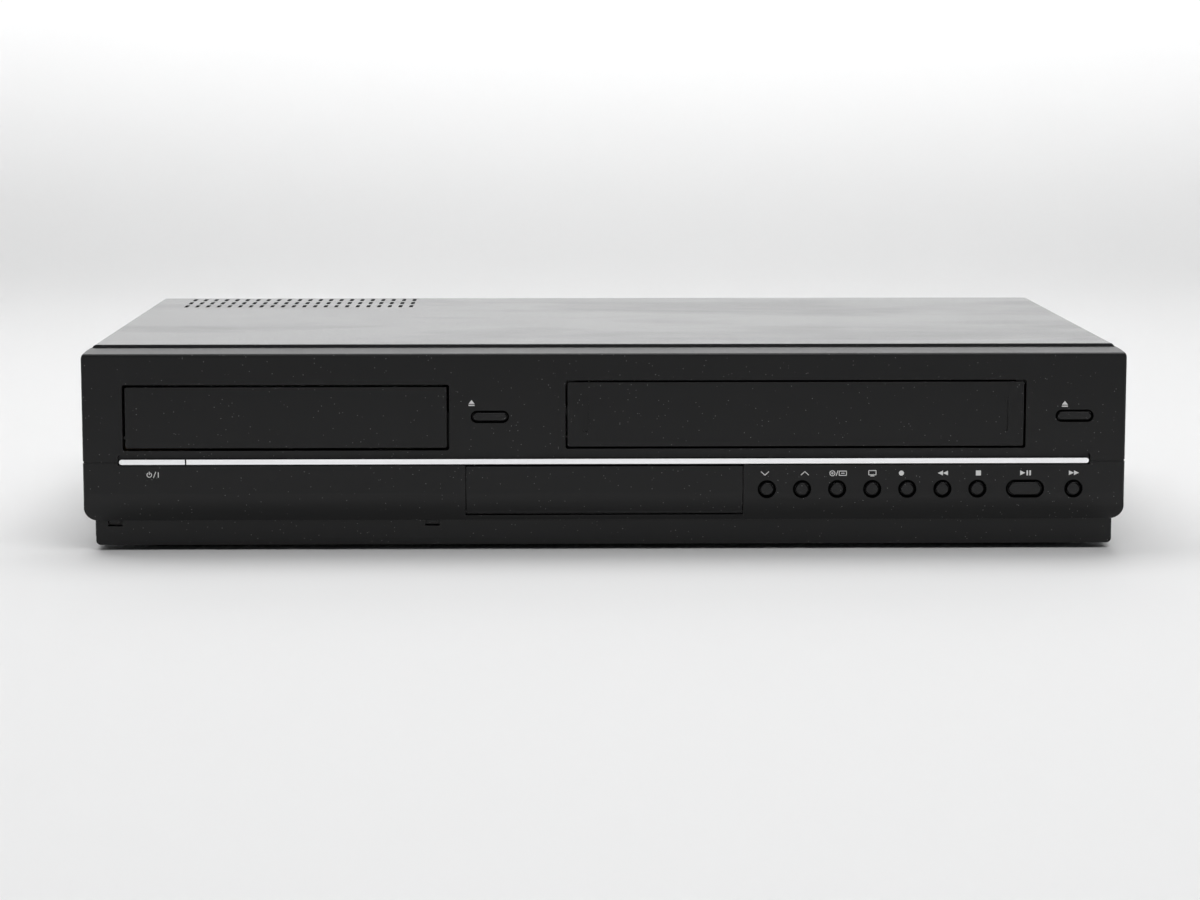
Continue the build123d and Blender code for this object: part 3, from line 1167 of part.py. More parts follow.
def loader_motor():
    x, y = motor_place()
    floor = LOADER_Z0 + LOADER_FLOOR_T
    body = upright(x, y, MOTOR_R, (floor, floor + MOTOR_H))
    body = fillet(body.edges().sort_by(Axis.Z)[-1], 1.2)
    body += upright(x, y, 1.0, (floor + MOTOR_H - 1, WHEEL_Z0 + WHEEL_T))
    return body + upright(x, y, MOTOR_PULLEY_R, (WHEEL_Z0, WHEEL_Z0 + WHEEL_T))


def loader_belt():
    """The rubber belt round the wheel and the motor's pulley."""
    mx, my = motor_place()
    clearance = RUNNING * 2

    def loop(extra):
        return link((GEAR_X, GEAR_Y), WHEEL_R + extra, (mx, my), MOTOR_PULLEY_R + extra)

    middle = WHEEL_Z0 + WHEEL_T / 2
    return lying(loop(clearance + BELT_T) - loop(clearance), (middle - BELT_W / 2, middle + BELT_W / 2))


def loader_frame():
    """The loader's moulded frame: floor ring, side walls with ledges, posts for gear and traverse."""
    inner = TRAY_HALF_W + GAP
    outer = inner + LOADER_WALL
    y = (LOADER_FRONT_Y, LOADER_BACK_Y)
    floor = (LOADER_Z0, LOADER_Z0 + LOADER_FLOOR_T)
    frame = block((DISC_X - outer, DISC_X + outer), y, floor)
    window = (TRAVERSE_HALF_W + 2, TRAVERSE_FRONT_Y - 6, PIVOT_Y + 6)
    frame -= block((DISC_X - window[0], DISC_X + window[0]), (window[1], window[2]), (0, HEIGHT))
    for side in (-1, 1):
        wall = sorted((DISC_X + side * inner, DISC_X + side * outer))
        frame += block(wall, y, (LOADER_Z0, LOADER_TOP_Z))
        ledge = sorted((DISC_X + side * inner, DISC_X + side * (TRAY_HALF_W - RUNNER_W)))
        frame += block(ledge, y, (RUNNER_Z - SEAT - 1.8, RUNNER_Z - SEAT))
        for tab_y in (y[0], DISC_Y, y[1] - 10):
            tab = sorted((DISC_X + side * inner, DISC_X + side * (inner - 3)))
            frame += block(tab, (tab_y, tab_y + 10), (TRAY_RIM_Z + GAP, TRAY_RIM_Z + GAP + 1.6))
        ear = sorted((DISC_X + side * (window[0]), DISC_X + side * (window[0] + 4)))
        bearing = block(ear, (PIVOT_Y - 5, PIVOT_Y + 5), (LOADER_Z0, PIVOT_Z + 2.5))
        frame += bearing - along_x(PIVOT_Y, PIVOT_Z, PIVOT_R + RUNNING, (ear[0] - 1, ear[1] + 1))
        for x, foot_y in loader_posts():
            if (x - DISC_X) * side > 0:
                foot = sorted((DISC_X + side * outer, x + side * LOADER_FOOT_W / 2))
                frame += block(foot, (foot_y - 5, foot_y + 5), floor)
    frame += block((DISC_X - outer, DISC_X + outer), (y[1] - 2, y[1]), (LOADER_Z0, RUNNER_Z - SEAT))
    post_top = WHEEL_Z0 - 0.2
    frame += upright(GEAR_X, GEAR_Y, GEAR_POST_R, (LOADER_Z0, post_top))
    frame += upright(GEAR_X, GEAR_Y, GEAR_PIN_R, (post_top - 1, TRAY_PLATE_Z - 2 * GAP))
    return frame


def clamp_bridge():
    """The steel bridge that carries the puck over the disc."""
    outer = TRAY_HALF_W + GAP + LOADER_WALL
    sketch = rounded((DISC_X - outer, DISC_X + outer), (DISC_Y - BRIDGE_L / 2, DISC_Y + BRIDGE_L / 2), 3.0)
    plate = lying(sketch, (LOADER_TOP_Z, LOADER_TOP_Z + BRIDGE_T))
    for side in (-1, 1):
        rib_y = sorted((DISC_Y + side * (BRIDGE_L / 2), DISC_Y + side * (BRIDGE_L / 2 - 1.2)))
        plate += block((DISC_X - outer + 8, DISC_X + outer - 8), rib_y, (LOADER_TOP_Z, LOADER_TOP_Z + 4))
    return plate - upright(DISC_X, DISC_Y, BRIDGE_HOLE_R, (0, HEIGHT))


def clamp_puck():
    """The puck that hangs in the bridge and presses the disc on the turntable."""
    bridge_top = LOADER_TOP_Z + BRIDGE_T
    puck = upright(DISC_X, DISC_Y, PUCK_R, (PUCK_Z, LOADER_TOP_Z - GAP))
    puck += upright(DISC_X, DISC_Y, BRIDGE_HOLE_R - GAP, (PUCK_Z, bridge_top + SEAT))
    puck += upright(DISC_X, DISC_Y, PUCK_FLANGE_R, (bridge_top + SEAT, bridge_top + SEAT + 1.6))
    return puck - upright(DISC_X, DISC_Y, HUB_R + 0.8, (0, PUCK_Z + 1.8))


def lowered(solid):
    """Turns a piece of the traverse from its raised place to where it rests."""
    return solid.rotate(Axis((0, PIVOT_Y, PIVOT_Z), (1, 0, 0)), LIFT_ANGLE)


def sled_y():
    middle = DISC_Y + SLED_START
    return middle - SLED_HALF_L, middle + SLED_HALF_L


def traverse():
    """The swinging plate with the spindle motor, two guide rods and the sled motor."""
    top = TRAVERSE_Z0 + TRAVERSE_T
    front, back = TRAVERSE_FRONT_Y, PIVOT_Y + 4
    y = sled_y()
    rod_y = (y[0] - 5, y[1] + SLED_TRAVEL + 5)
    half = TRAVERSE_HALF_W
    plate = lying(rounded((DISC_X - half, DISC_X + half), (front, back), 4.0), (TRAVERSE_Z0, top))
    window = (DISC_X + ROD_X[0] + 4, DISC_X + SCREW_X + 4)
    plate -= block(window, (y[0] - 1, y[1] + SLED_TRAVEL + 1), (0, HEIGHT))
    plate += along_x(PIVOT_Y, PIVOT_Z, PIVOT_R, (DISC_X - half - 5, DISC_X + half + 5))
    for x in ROD_X:
        for end in (rod_y[0], rod_y[1] - 4):
            plate += block((DISC_X + x - 3, DISC_X + x + 3), (end, end + 4), (TRAVERSE_Z0, ROD_Z + 2))
        plate += along_y(DISC_X + x, ROD_Z, ROD_R, rod_y)
    plate += upright(DISC_X, DISC_Y, SPINDLE_MOTOR_R, (TRAVERSE_Z0 - SPINDLE_MOTOR_H, top))
    plate += upright(DISC_X, DISC_Y, SPINDLE_SLEEVE_R, (top, TABLE_Z - 1.0))
    plate -= upright(DISC_X, DISC_Y, SPINDLE_R + RUNNING, (TRAVERSE_Z0 + 1, TABLE_Z))
    motor_y = (DISC_Y - 12, y[0] - 5.5)
    screw_x = DISC_X + SCREW_X
    screw_end = y[1] + SLED_TRAVEL
    plate -= block((screw_x - 5, screw_x + 5), (motor_y[0] - 0.5, motor_y[1]), (0, HEIGHT))
    plate += along_y(screw_x, SCREW_Z, 4.4, (motor_y[0], motor_y[1] - 0.5))
    plate += block((screw_x - 6, DISC_X + half), (motor_y[1] - 1.5, motor_y[1]), (TRAVERSE_Z0 - 2, SCREW_Z + 4))
    for end in (motor_y[1] - 1.5, screw_end + 1):
        plate += block((screw_x - 3, screw_x + 3), (end, end + 2.5), (TRAVERSE_Z0, SCREW_Z + 3))
    plate -= along_y(screw_x, SCREW_Z, SLED_SCREW_R + RUNNING, (motor_y[1] - 2.5, screw_end + 10))
    return lowered(plate)


def turntable():
    """The table and its cone, on the spindle motor's shaft."""
    table = upright(DISC_X, DISC_Y, TABLE_R, (TABLE_Z, TABLE_Z + TABLE_T))
    hub = upright(DISC_X, DISC_Y, HUB_R, (TABLE_Z + TABLE_T, TABLE_Z + TABLE_T + HUB_H))
    table += chamfer(hub.edges().sort_by(Axis.Z)[-1], 1.2)
    table += upright(DISC_X, DISC_Y, SPINDLE_R, (TRAVERSE_Z0 + 1.2, TABLE_Z))
    return lowered(table)


def laser_sled():
    """The pickup: a block on the guide rods with the lens in its ring."""
    y = sled_y()
    body = block((DISC_X + ROD_X[0] - 4, DISC_X + ROD_X[1] + 3), y, (SLED_Z0, SLED_Z1))
    body = chamfer(body.edges().filter_by(Axis.Z), 2.0)
    finger = (DISC_X + ROD_X[1], DISC_X + SCREW_X - SLED_SCREW_R - 0.1)
    body += block(finger, (y[0] + 6, y[1] - 6), (SLED_Z0, SLED_Z0 + 2))
    for x in ROD_X:
        body -= along_y(DISC_X + x, ROD_Z, ROD_R + RUNNING, (y[0] - 1, y[1] + 1))
    middle = DISC_Y + SLED_START
    body += upright(DISC_X, middle, LENS_R + 2.5, (SLED_Z1 - 0.5, LENS_Z - 1.2))
    body += upright(DISC_X, middle, LENS_R, (SLED_Z1, LENS_Z))
    return lowered(body)


def sled_screw():
    """The lead screw beside the sled."""
    y = sled_y()
    return lowered(along_y(DISC_X + SCREW_X, SCREW_Z, SLED_SCREW_R, (y[0] - 7.5, y[1] + SLED_TRAVEL + 3)))


# ---- Cassette deck --------------------------------------------------------------------------------------
def reel_xs():
    return TAPE_X - REEL_SPACING / 2, TAPE_X + REEL_SPACING / 2


def capstan_place():
    return TAPE_X + CAPSTAN_X, CAPSTAN_Y


def pinch_places():
    """The arm's pivot, and the roller's centre while it is swung away from the capstan."""
    pivot = (TAPE_X + PINCH_X, PINCH_Y)
    cx, cy = capstan_place()
    closed = (cx, cy + CAPSTAN_R + ROLLER_R + 0.2)
    reach = hypot(closed[0] - pivot[0], closed[1] - pivot[1])
    angle = atan2(closed[1] - pivot[1], closed[0] - pivot[0]) - radians(PINCH_SWING)
    return pivot, (pivot[0] + reach * cos(angle), pivot[1] + reach * sin(angle))


def guide_xs():
    return TAPE_X - GUIDE_X, TAPE_X + GUIDE_X


def deck_plate():
    """The pressed deck with flanged edges, guide slots, reel pins and the pinch arm's pin."""
    sketch = rounded((DECK_X0, DECK_X1), (DECK_Y0, DECK_Y1), 5.0)
    sketch -= Pos(TAPE_X, DRUM_Y) * Circle(16.0)
    for x in guide_xs():
        sketch -= Pos(x, GUIDE_Y + GUIDE_TRAVEL / 2) * Rot(0, 0, 90) * SlotOverall(GUIDE_TRAVEL + 8, 4.0)
    sketch -= Pos(*capstan_place()) * Circle(BEARING_R + GAP / 2)
    sketch -= rounded((TAPE_X - 18, TAPE_X + 18), (DECK_Y0 + 8, DECK_Y0 + 32), 3.0)
    deck = lying(sketch, (DECK_Z, DECK_TOP))
    for x in (DECK_X0, DECK_X1 - DECK_T):
        deck += block((x, x + DECK_T), (DECK_Y0 + 5, DECK_Y1 - 5), (DECK_Z - 5, DECK_TOP))
    for x in reel_xs():
        deck += upright(x, REEL_Y, REEL_PIN_R, (DECK_Z, REEL_TOP_Z - 4))
    pivot = pinch_places()[0]
    return deck + upright(*pivot, PINCH_PIN_R, (DECK_Z, DECK_TOP + 22))


def frame_slot_y():
    return HOLDER_Y0 + 12, HOLDER_Y1 + 22


def cassette_frame():
    """Two side brackets with upright slots, joined by a bridge over the holder."""
    y = (HOLDER_Y0, HOLDER_Y1 + 38)
    frame = None
    for side in (-1, 1):
        inner = TAPE_X + side * FRAME_HALF_W
        x = sorted((inner, inner + side * FRAME_T))
        wall = block(x, y, (DECK_TOP, FRAME_Z1))
        foot = block(sorted((inner + side * FRAME_T, inner - side * 7)), y, (DECK_TOP, DECK_TOP + FRAME_T))
        for slot_y in frame_slot_y():
            z0 = lift_pin_z() - HOLDER_DROP - LIFT_PIN_R - GAP / 2
            z1 = lift_pin_z() + LIFT_PIN_R + GAP / 2
            half = LIFT_PIN_R + GAP / 2
            wall -= block((x[0] - 1, x[1] + 1), (slot_y - half, slot_y + half), (z0, z1))
        piece = wall + foot
        frame = piece if frame is None else frame + piece
    half = FRAME_HALF_W + FRAME_T
    bridge_y = (HOLDER_Y1 - 22, HOLDER_Y1 - 4)
    bridge = block((TAPE_X - half, TAPE_X + half), bridge_y, (FRAME_Z1 - FRAME_T, FRAME_Z1))
    for edge_y in bridge_y:
        y = (edge_y, edge_y + FRAME_T) if edge_y == bridge_y[0] else (edge_y - FRAME_T, edge_y)
        bridge += block((TAPE_X - half, TAPE_X + half), y, (FRAME_Z1 - 3.0, FRAME_Z1))
    holes = Sketch() + [Pos(TAPE_X + x, sum(bridge_y) / 2) * SlotOverall(34.0, 7.0) for x in (-60, 0, 60)]
    return frame + bridge - lying(holes, (FRAME_Z1 - 5, HEIGHT))


def lift_pin_z():
    return LIFT_Z0 + 3.5


def holder_pin_z():
    return LIFT_Z0 + 12.0


def lift_rails():
    """Two side rails that go down with the holder, joined by a bar over it."""
    y = (HOLDER_Y0 + 2, HOLDER_Y1 + 36)
    rails = None
    for side in (-1, 1):
        inner = TAPE_X + side * LIFT_HALF_W
        x = sorted((inner, inner + side * LIFT_T))
        rail = block(x, y, (LIFT_Z0, LIFT_Z1))
        z = holder_pin_z()
        half = HOLDER_PIN_R + GAP / 2
        slot_y = (HOLDER_Y0 + 10 - half, HOLDER_Y1 - 8 + HOLDER_TRAVEL + half)
        rail -= block((x[0] - 1, x[1] + 1), slot_y, (z - half, z + half))
        for pin_y in frame_slot_y():
            ends = sorted((inner, inner + side * (LIFT_T + 1.6 + FRAME_T)))
            rail += along_x(pin_y, lift_pin_z(), LIFT_PIN_R, ends)
        rails = rail if rails is None else rails + rail
    half = LIFT_HALF_W + LIFT_T
    bar = block((TAPE_X - half, TAPE_X + half), (HOLDER_Y1 + 14, HOLDER_Y1 + 24), (LIFT_Z1 - LIFT_T, LIFT_Z1))
    return rails + bar


def cassette_holder():
    """The holder: side walls, floor strips that miss the reels, a stop and two hold-down strips."""
    y = (HOLDER_Y0, HOLDER_Y1)
    floor = (HOLDER_FLOOR_Z, HOLDER_FLOOR_Z + HOLDER_T)
    outer = HOLDER_HALF_W + HOLDER_T
    holder = block((TAPE_X - outer, TAPE_X + outer), (y[1] - HOLDER_T, y[1]), (floor[0], floor[0] + 7))
    holder += block((TAPE_X - HOLDER_MID_W / 2, TAPE_X + HOLDER_MID_W / 2), y, floor)
    for side in (-1, 1):
        edge = TAPE_X + side * outer
        holder += block(sorted((edge, edge - side * HOLDER_LEDGE_W)), y, floor)
        holder += block(sorted((edge, edge - side * HOLDER_T)), y, (floor[0], HOLDER_TOP_Z))
        strip = sorted((edge, edge - side * 14))
        holder += block(strip, (y[0] + 8, y[1]), (HOLDER_TOP_Z - 0.8, HOLDER_TOP_Z))
        for pin_y in (y[0] + 10, y[1] - 8):
            ends = sorted((edge - side * 0.5, edge + side * (1.2 + LIFT_T)))
            holder += along_x(pin_y, holder_pin_z(), HOLDER_PIN_R, ends)
    return holder


def reel_table(x):
    """A reel table: the drive rim and a splined hub that enters the cassette's reel."""
    low = DECK_TOP + 0.6
    table = upright(x, REEL_Y, REEL_GEAR_R, (low, low + REEL_GEAR_T))
    table -= upright(x, REEL_Y, REEL_GEAR_R - 2, (low + 1.4, low + REEL_GEAR_T)) - \
        upright(x, REEL_Y, REEL_HUB_R + 2, (low, low + REEL_GEAR_T))
    hub = upright(x, REEL_Y, REEL_HUB_R - 1.6, (low, REEL_TOP_Z))
    table += chamfer(hub.edges().sort_by(Axis.Z)[-1], 1.5)
    for turn in range(3):
        fin = block((0, REEL_HUB_R), (-1, 1), (low, REEL_TOP_Z - 3))
        table += Pos(x, REEL_Y, 0) * Rot(0, 0, 120 * turn) * fin
    return table - upright(x, REEL_Y, REEL_PIN_R + RUNNING, (0, REEL_TOP_Z - 3.5))


def tilted(solid):
    """Leans a piece of the drum, drawn on the deck, about the drum's middle."""
    return Pos(TAPE_X, DRUM_Y, DECK_TOP) * Rot(DRUM_TILT, 0, 0) * solid


def drum_base():
    """The casting under the drum with the fixed lower drum and its tape edge."""
    lower = Pos(0, 0, (DRUM_LOWER_Z0 + DRUM_LOWER_Z1) / 2) * Cylinder(DRUM_R, DRUM_LOWER_Z1 - DRUM_LOWER_Z0)
    bore = Pos(0, 0, DRUM_LOWER_Z1) * Cylinder(DRUM_SHAFT_R + RUNNING, 12)
    base = upright(TAPE_X, DRUM_Y, DRUM_R - 4, (DECK_TOP, DECK_TOP + DRUM_LOWER_Z0 + 3))
    for turn in (90, 210, 330):
        lug_x = TAPE_X + (DRUM_R - 1) * cos(radians(turn))
        lug_y = DRUM_Y + (DRUM_R - 1) * sin(radians(turn))
        base += upright(lug_x, lug_y, 4.0, (DECK_TOP, DECK_TOP + 2.5))
    motor = upright(TAPE_X, DRUM_Y, 15.0, (DECK_Z - 6, DECK_TOP))
    return base + tilted(lower) + motor - tilted(bore)


def head_drum():
    """The turning upper drum, with its hub and two small head windows."""
    low = DRUM_LOWER_Z1 + DRUM_SLIT
    drum = Pos(0, 0, (low + DRUM_UPPER_Z1) / 2) * Cylinder(DRUM_R, DRUM_UPPER_Z1 - low)
    drum = chamfer(drum.edges().sort_by(Axis.Z)[-1], 0.6)
    drum -= Pos(0, 0, DRUM_UPPER_Z1) * (Cylinder(DRUM_R - 4, 3.0) - Cylinder(11.0, 3.0))
    drum += Pos(0, 0, DRUM_UPPER_Z1) * Cylinder(8.0, 4.0)
    drum += Pos(0, 0, low - 2.0) * Cylinder(DRUM_SHAFT_R, 5.0)
    for side in (-1, 1):
        drum -= Pos(side * DRUM_R, 0, low + 1.0) * Box(4.0, 3.0, 2.4)
    return tilted(drum)


def capstan_motor():
    """The capstan's bearing and the motor's board under the deck."""
    x, y = capstan_place()
    plate = lying(rounded((x - 14, x + 26), (y - 22, y + 24), 6.0), (DECK_Z - BOARD_T, DECK_Z))
    motor = plate + upright(x, y, BEARING_R, (FLYWHEEL_Z0 + FLYWHEEL_T + GAP, DECK_TOP))
    return motor - upright(x, y, CAPSTAN_R + RUNNING, (0, HEIGHT))


def capstan_flywheel():
    """The capstan shaft with its flywheel under the deck."""
    x, y = capstan_place()
    wheel = upright(x, y, FLYWHEEL_R, (FLYWHEEL_Z0, FLYWHEEL_Z0 + FLYWHEEL_T))
    wheel = chamfer(wheel.edges(), 0.8)
    return wheel + upright(x, y, CAPSTAN_R, (FLYWHEEL_Z0, CAPSTAN_TOP_Z))


def pinch_arm():
    """The swinging arm, swung away, with the roller's pin at its end."""
    pivot, roller = pinch_places()
    low = DECK_TOP + 0.3
    arm = link(pivot, 5.0, roller, 3.5)
    piece = lying(arm, (low, low + 2.4)) + upright(*pivot, 4.4, (low, DECK_TOP + 20))
    piece += upright(*roller, 1.5, (low, low + 2.4 + ROLLER_H + 4))
    return piece - upright(*pivot, PINCH_PIN_R + RUNNING, (0, HEIGHT))


def pinch_roller():
    _, place = pinch_places()
    low = DECK_TOP + 0.3 + 2.4 + 0.4
    roller = chamfer(upright(*place, ROLLER_R, (low, low + ROLLER_H)).edges(), 0.4)
    return roller - upright(*place, 1.5 + RUNNING, (0, HEIGHT))


def tape_guide(x):
    """A carriage with an upright roller and a leaning post, which draws the tape to the drum."""
    low = DECK_TOP + 0.3
    foot = block((x - GUIDE_W / 2, x + GUIDE_W / 2), (GUIDE_Y - 4, GUIDE_Y + 4), (low, low + 4))
    foot += upright(x, GUIDE_Y, 1.6, (DECK_Z - 1, low + 1))
    foot += upright(x, GUIDE_Y, GUIDE_ROLLER_R, (low + 4, GUIDE_TOP_Z))
    foot += upright(x, GUIDE_Y, GUIDE_ROLLER_R + 0.8, (GUIDE_TOP_Z - 1.4, GUIDE_TOP_Z))
    return foot


def tape_heads():
    """The erase head on the left and the audio head beside the capstan, each on its foot."""
    heads = []
    for x, y in ((TAPE_X - 52, DRUM_Y - 26), (TAPE_X + 46.2, DRUM_Y - 26.5)):
        foot = block((x - 2.6, x + 2.6), (y - 4, y + 4), (DECK_TOP, DECK_TOP + 6))
        head = block((x - 2.6, x + 2.6), (y - 5, y + 5), (DECK_TOP + 6, DECK_TOP + 25))
        heads.append(foot + fillet(head.edges().filter_by(Axis.Z), 1.2))
    return group(*heads)


def ribbon_cables():
    """Flat cables: from the main board up to the loader, and an arch between the two boards."""
    z = MAIN_BOARD_Z + BOARD_T
    gap = NECK_X[0] - POWER_BOARD_X[1]
    r = gap / 2 + CABLE_FOOT
    ring = Pos(NECK_X[0] - gap / 2, z) * (Circle(r) - Circle(r - CABLE_T))
    arch = facing(ring, (POWER_BOARD_Y + 20, POWER_BOARD_Y + 34))
    arch &= block((POWER_BOARD_X[0], 0), (0, BACK_Y), (z, HEIGHT))
    y = (LOADER_BACK_Y - 8, LOADER_BACK_Y - 5.5)
    loader = block((DISC_X - 10, DISC_X + 10), y, (z, LOADER_Z0))
    return group(loader, arch)


# ---- Every node and its piece ---------------------------------------------------------------------------
KEY_NAMES = ("channel_down_button", "channel_up_button", "source_button", "output_button", "record_button",
             "rewind_button", "stop_button", "forward_button")

PARTS = {
    "front_panel": front_panel(), "trim_strip": trim_strip(), "front_plinth": front_plinth(),
    "top_cover": top_cover(), "bottom_pan": bottom_pan(), "rear_panel": rear_panel(),
    "rubber_feet": rubber_feet(), "case_screws": case_screws(), "jack_bay": jack_bay(),
    "front_jacks": front_jacks(), "front_boards": front_boards(), "tact_switches": tact_switches(),
    "rear_sockets": rear_sockets(), "ac_inlet": ac_inlet(), "aerial_box": aerial_box(),
    "main_board": main_board(), "power_board": power_board(), "board_parts": board_parts(),
    "ribbon_cables": ribbon_cables(),
    "loader_frame": loader_frame(), "clamp_bridge": clamp_bridge(), "loader_motor": loader_motor(),
    "loader_belt": loader_belt(), "disc_tray": disc_tray(), "tray_cap": tray_cap(), "tray_gear": tray_gear(),
    "clamp_puck": clamp_puck(), "traverse": traverse(), "turntable": turntable(), "laser_sled": laser_sled(),
    "sled_screw": sled_screw(),
    "deck_plate": deck_plate(), "cassette_frame": cassette_frame(), "lift_rails": lift_rails(),
    "cassette_holder": cassette_holder(), "cassette_door": cassette_door(),
    "supply_reel_table": reel_table(reel_xs()[0]), "takeup_reel_table": reel_table(reel_xs()[1]),
    "drum_base": drum_base(), "head_drum": head_drum(), "capstan_motor": capstan_motor(),
    "capstan_flywheel": capstan_flywheel(), "pinch_arm": pinch_arm(), "pinch_roller": pinch_roller(),
    "supply_guide": tape_guide(guide_xs()[0]), "takeup_guide": tape_guide(guide_xs()[1]),
    "tape_heads": tape_heads(),
    "jack_door": jack_door(), "power_button": power_button(),
    "open_button": pill_button(OPEN_KEY_X, PILL_Z, PILL_W, PILL_H),
    "eject_button": pill_button(EJECT_KEY_X, PILL_Z, PILL_W, PILL_H),
    "play_button": pill_button(PLAY_X, KEY_Z, PLAY_W, PLAY_H),
}
PARTS.update({name: round_button(x) for name, x in zip(KEY_NAMES, KEY_XS)})

if __name__ == "__main__":
    os.makedirs("parts", exist_ok=True)
    for node, piece in PARTS.items():
        export_step(piece, f"parts/{node}.step")
        print(f"{node}: {len(piece.solids())} solids, {piece.volume / 1000:.2f} cm3")
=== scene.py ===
"""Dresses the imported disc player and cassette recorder: finishes, printed marks, fasteners and the studio.

Lengths are in metres unless a docstring says millimetres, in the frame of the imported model: Z is up and the
front panel looks along -Y.
"""
from __future__ import annotations

import json
import logging
from dataclasses import dataclass
from enum import Enum
from math import copysign, cos, hypot, pi, radians, sin
from random import Random
from typing import Iterable, Sequence

import bmesh
import bpy
from mathutils import Matrix, Vector

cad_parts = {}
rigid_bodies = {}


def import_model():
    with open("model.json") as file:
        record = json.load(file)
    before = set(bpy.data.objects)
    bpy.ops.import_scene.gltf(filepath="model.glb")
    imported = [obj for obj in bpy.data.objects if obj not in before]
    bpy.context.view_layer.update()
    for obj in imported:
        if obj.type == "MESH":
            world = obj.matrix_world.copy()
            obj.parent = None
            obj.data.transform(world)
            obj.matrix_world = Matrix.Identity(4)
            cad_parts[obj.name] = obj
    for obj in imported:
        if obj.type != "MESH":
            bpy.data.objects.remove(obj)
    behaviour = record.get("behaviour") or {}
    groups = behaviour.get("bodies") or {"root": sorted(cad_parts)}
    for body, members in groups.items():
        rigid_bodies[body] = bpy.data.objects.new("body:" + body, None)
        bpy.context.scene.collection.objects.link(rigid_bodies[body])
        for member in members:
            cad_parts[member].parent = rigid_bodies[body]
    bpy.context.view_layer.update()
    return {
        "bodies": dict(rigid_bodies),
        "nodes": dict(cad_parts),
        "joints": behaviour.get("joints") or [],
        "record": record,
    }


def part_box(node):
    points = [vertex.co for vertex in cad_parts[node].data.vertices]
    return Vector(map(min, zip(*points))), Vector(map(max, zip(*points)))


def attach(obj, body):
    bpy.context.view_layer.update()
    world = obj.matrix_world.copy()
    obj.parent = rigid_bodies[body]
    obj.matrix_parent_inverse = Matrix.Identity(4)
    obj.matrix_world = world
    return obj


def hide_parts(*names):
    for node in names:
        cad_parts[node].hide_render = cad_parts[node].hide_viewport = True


MM = 0.001
Point2 = tuple[float, float]
Point3 = tuple[float, float, float]
Stroke = tuple[Point2, Point2]
Loop = list[Point2]
Colour = tuple[float, float, float]
FRONT: Point3 = (0.0, -1.0, 0.0)
BACK: Point3 = (0.0, 1.0, 0.0)
UP_Z: Point3 = (0.0, 0.0, 1.0)
log = logging.getLogger("deck")


# ---- Node trees -------------------------------------------------------------------------------------------
DUST_CELLS = 0.16
DUST_COVER = 0.6
DUST_ROUGHNESS = 0.3
RUBBED_ROUGHNESS = 0.12
TRACK_COVER = 0.55
LACQUER_GAIN = 1.9
LACQUER_LIFT = 0.02


class Graph:
    """Adds nodes to one node tree and joins them."""

    def __init__(self, tree: bpy.types.NodeTree) -> None:
        """Keeps the tree that the nodes go into.

        Args:
            tree: A material's, group's or modifier's node tree.
        """
        self.tree = tree

    def add(self, kind: str, inputs: dict | None = None, **settings: object) -> bpy.types.Node:
        """Adds one node.

        Args:
            kind: The node's type name.
            inputs: Values or sockets, by the input's name or number.
            settings: Properties of the node itself.

        Returns:
            The new node.
        """
        node = self.tree.nodes.new(kind)
        for name, value in settings.items():
            setattr(node, name, value)
        for key, value in (inputs or {}).items():
            self.feed(node, key, value)
        return node

    def feed(self, node: bpy.types.Node, key: str | int, value: object) -> None:
        """Links a socket to an input, or sets the input's own value.

        Args:
            node: The node that receives.
            key: The input's name or number.
            value: A socket or a plain value.
        """
        if isinstance(value, bpy.types.NodeSocket):
            self.tree.links.new(value, node.inputs[key])
        else:
            node.inputs[key].default_value = value

    def maths(self, operation: str, a: object, b: object) -> bpy.types.NodeSocket:
        """Returns the result of one sum on two values or sockets.

        Args:
            operation: The Math node's operation.
            a: The first value.
            b: The second value.

        Returns:
            The result's socket.
        """
        return self.add("ShaderNodeMath", {0: a, 1: b}, operation=operation).outputs[0]

    def spread(self, value: object, low: float, high: float, to_low: float = 0.0,
               to_high: float = 1.0) -> bpy.types.NodeSocket:
        """Maps one range of a value onto another, held at the ends.

        Args:
            value: The socket that is mapped.
            low: The value that gives to_low.
            high: The value that gives to_high.
            to_low: The result at the low end.
            to_high: The result at the high end.

        Returns:
            The result's socket.
        """
        return self.add("ShaderNodeMapRange", {"Value": value, "From Min": low, "From Max": high,
                                               "To Min": to_low, "To Max": to_high}).outputs[0]

    def blend(self, share: object, a: object, b: object) -> bpy.types.NodeSocket:
        """Mixes two colours.

        Args:
            share: How much of the second colour shows.
            a: The first colour.
            b: The second colour.

        Returns:
            The colour's socket.
        """
        node = self.add("ShaderNodeMix", {0: share}, data_type="RGBA")
        self.feed(node, 6, (*a, 1.0) if isinstance(a, tuple) else a)
        self.feed(node, 7, (*b, 1.0) if isinstance(b, tuple) else b)
        return node.outputs[2]


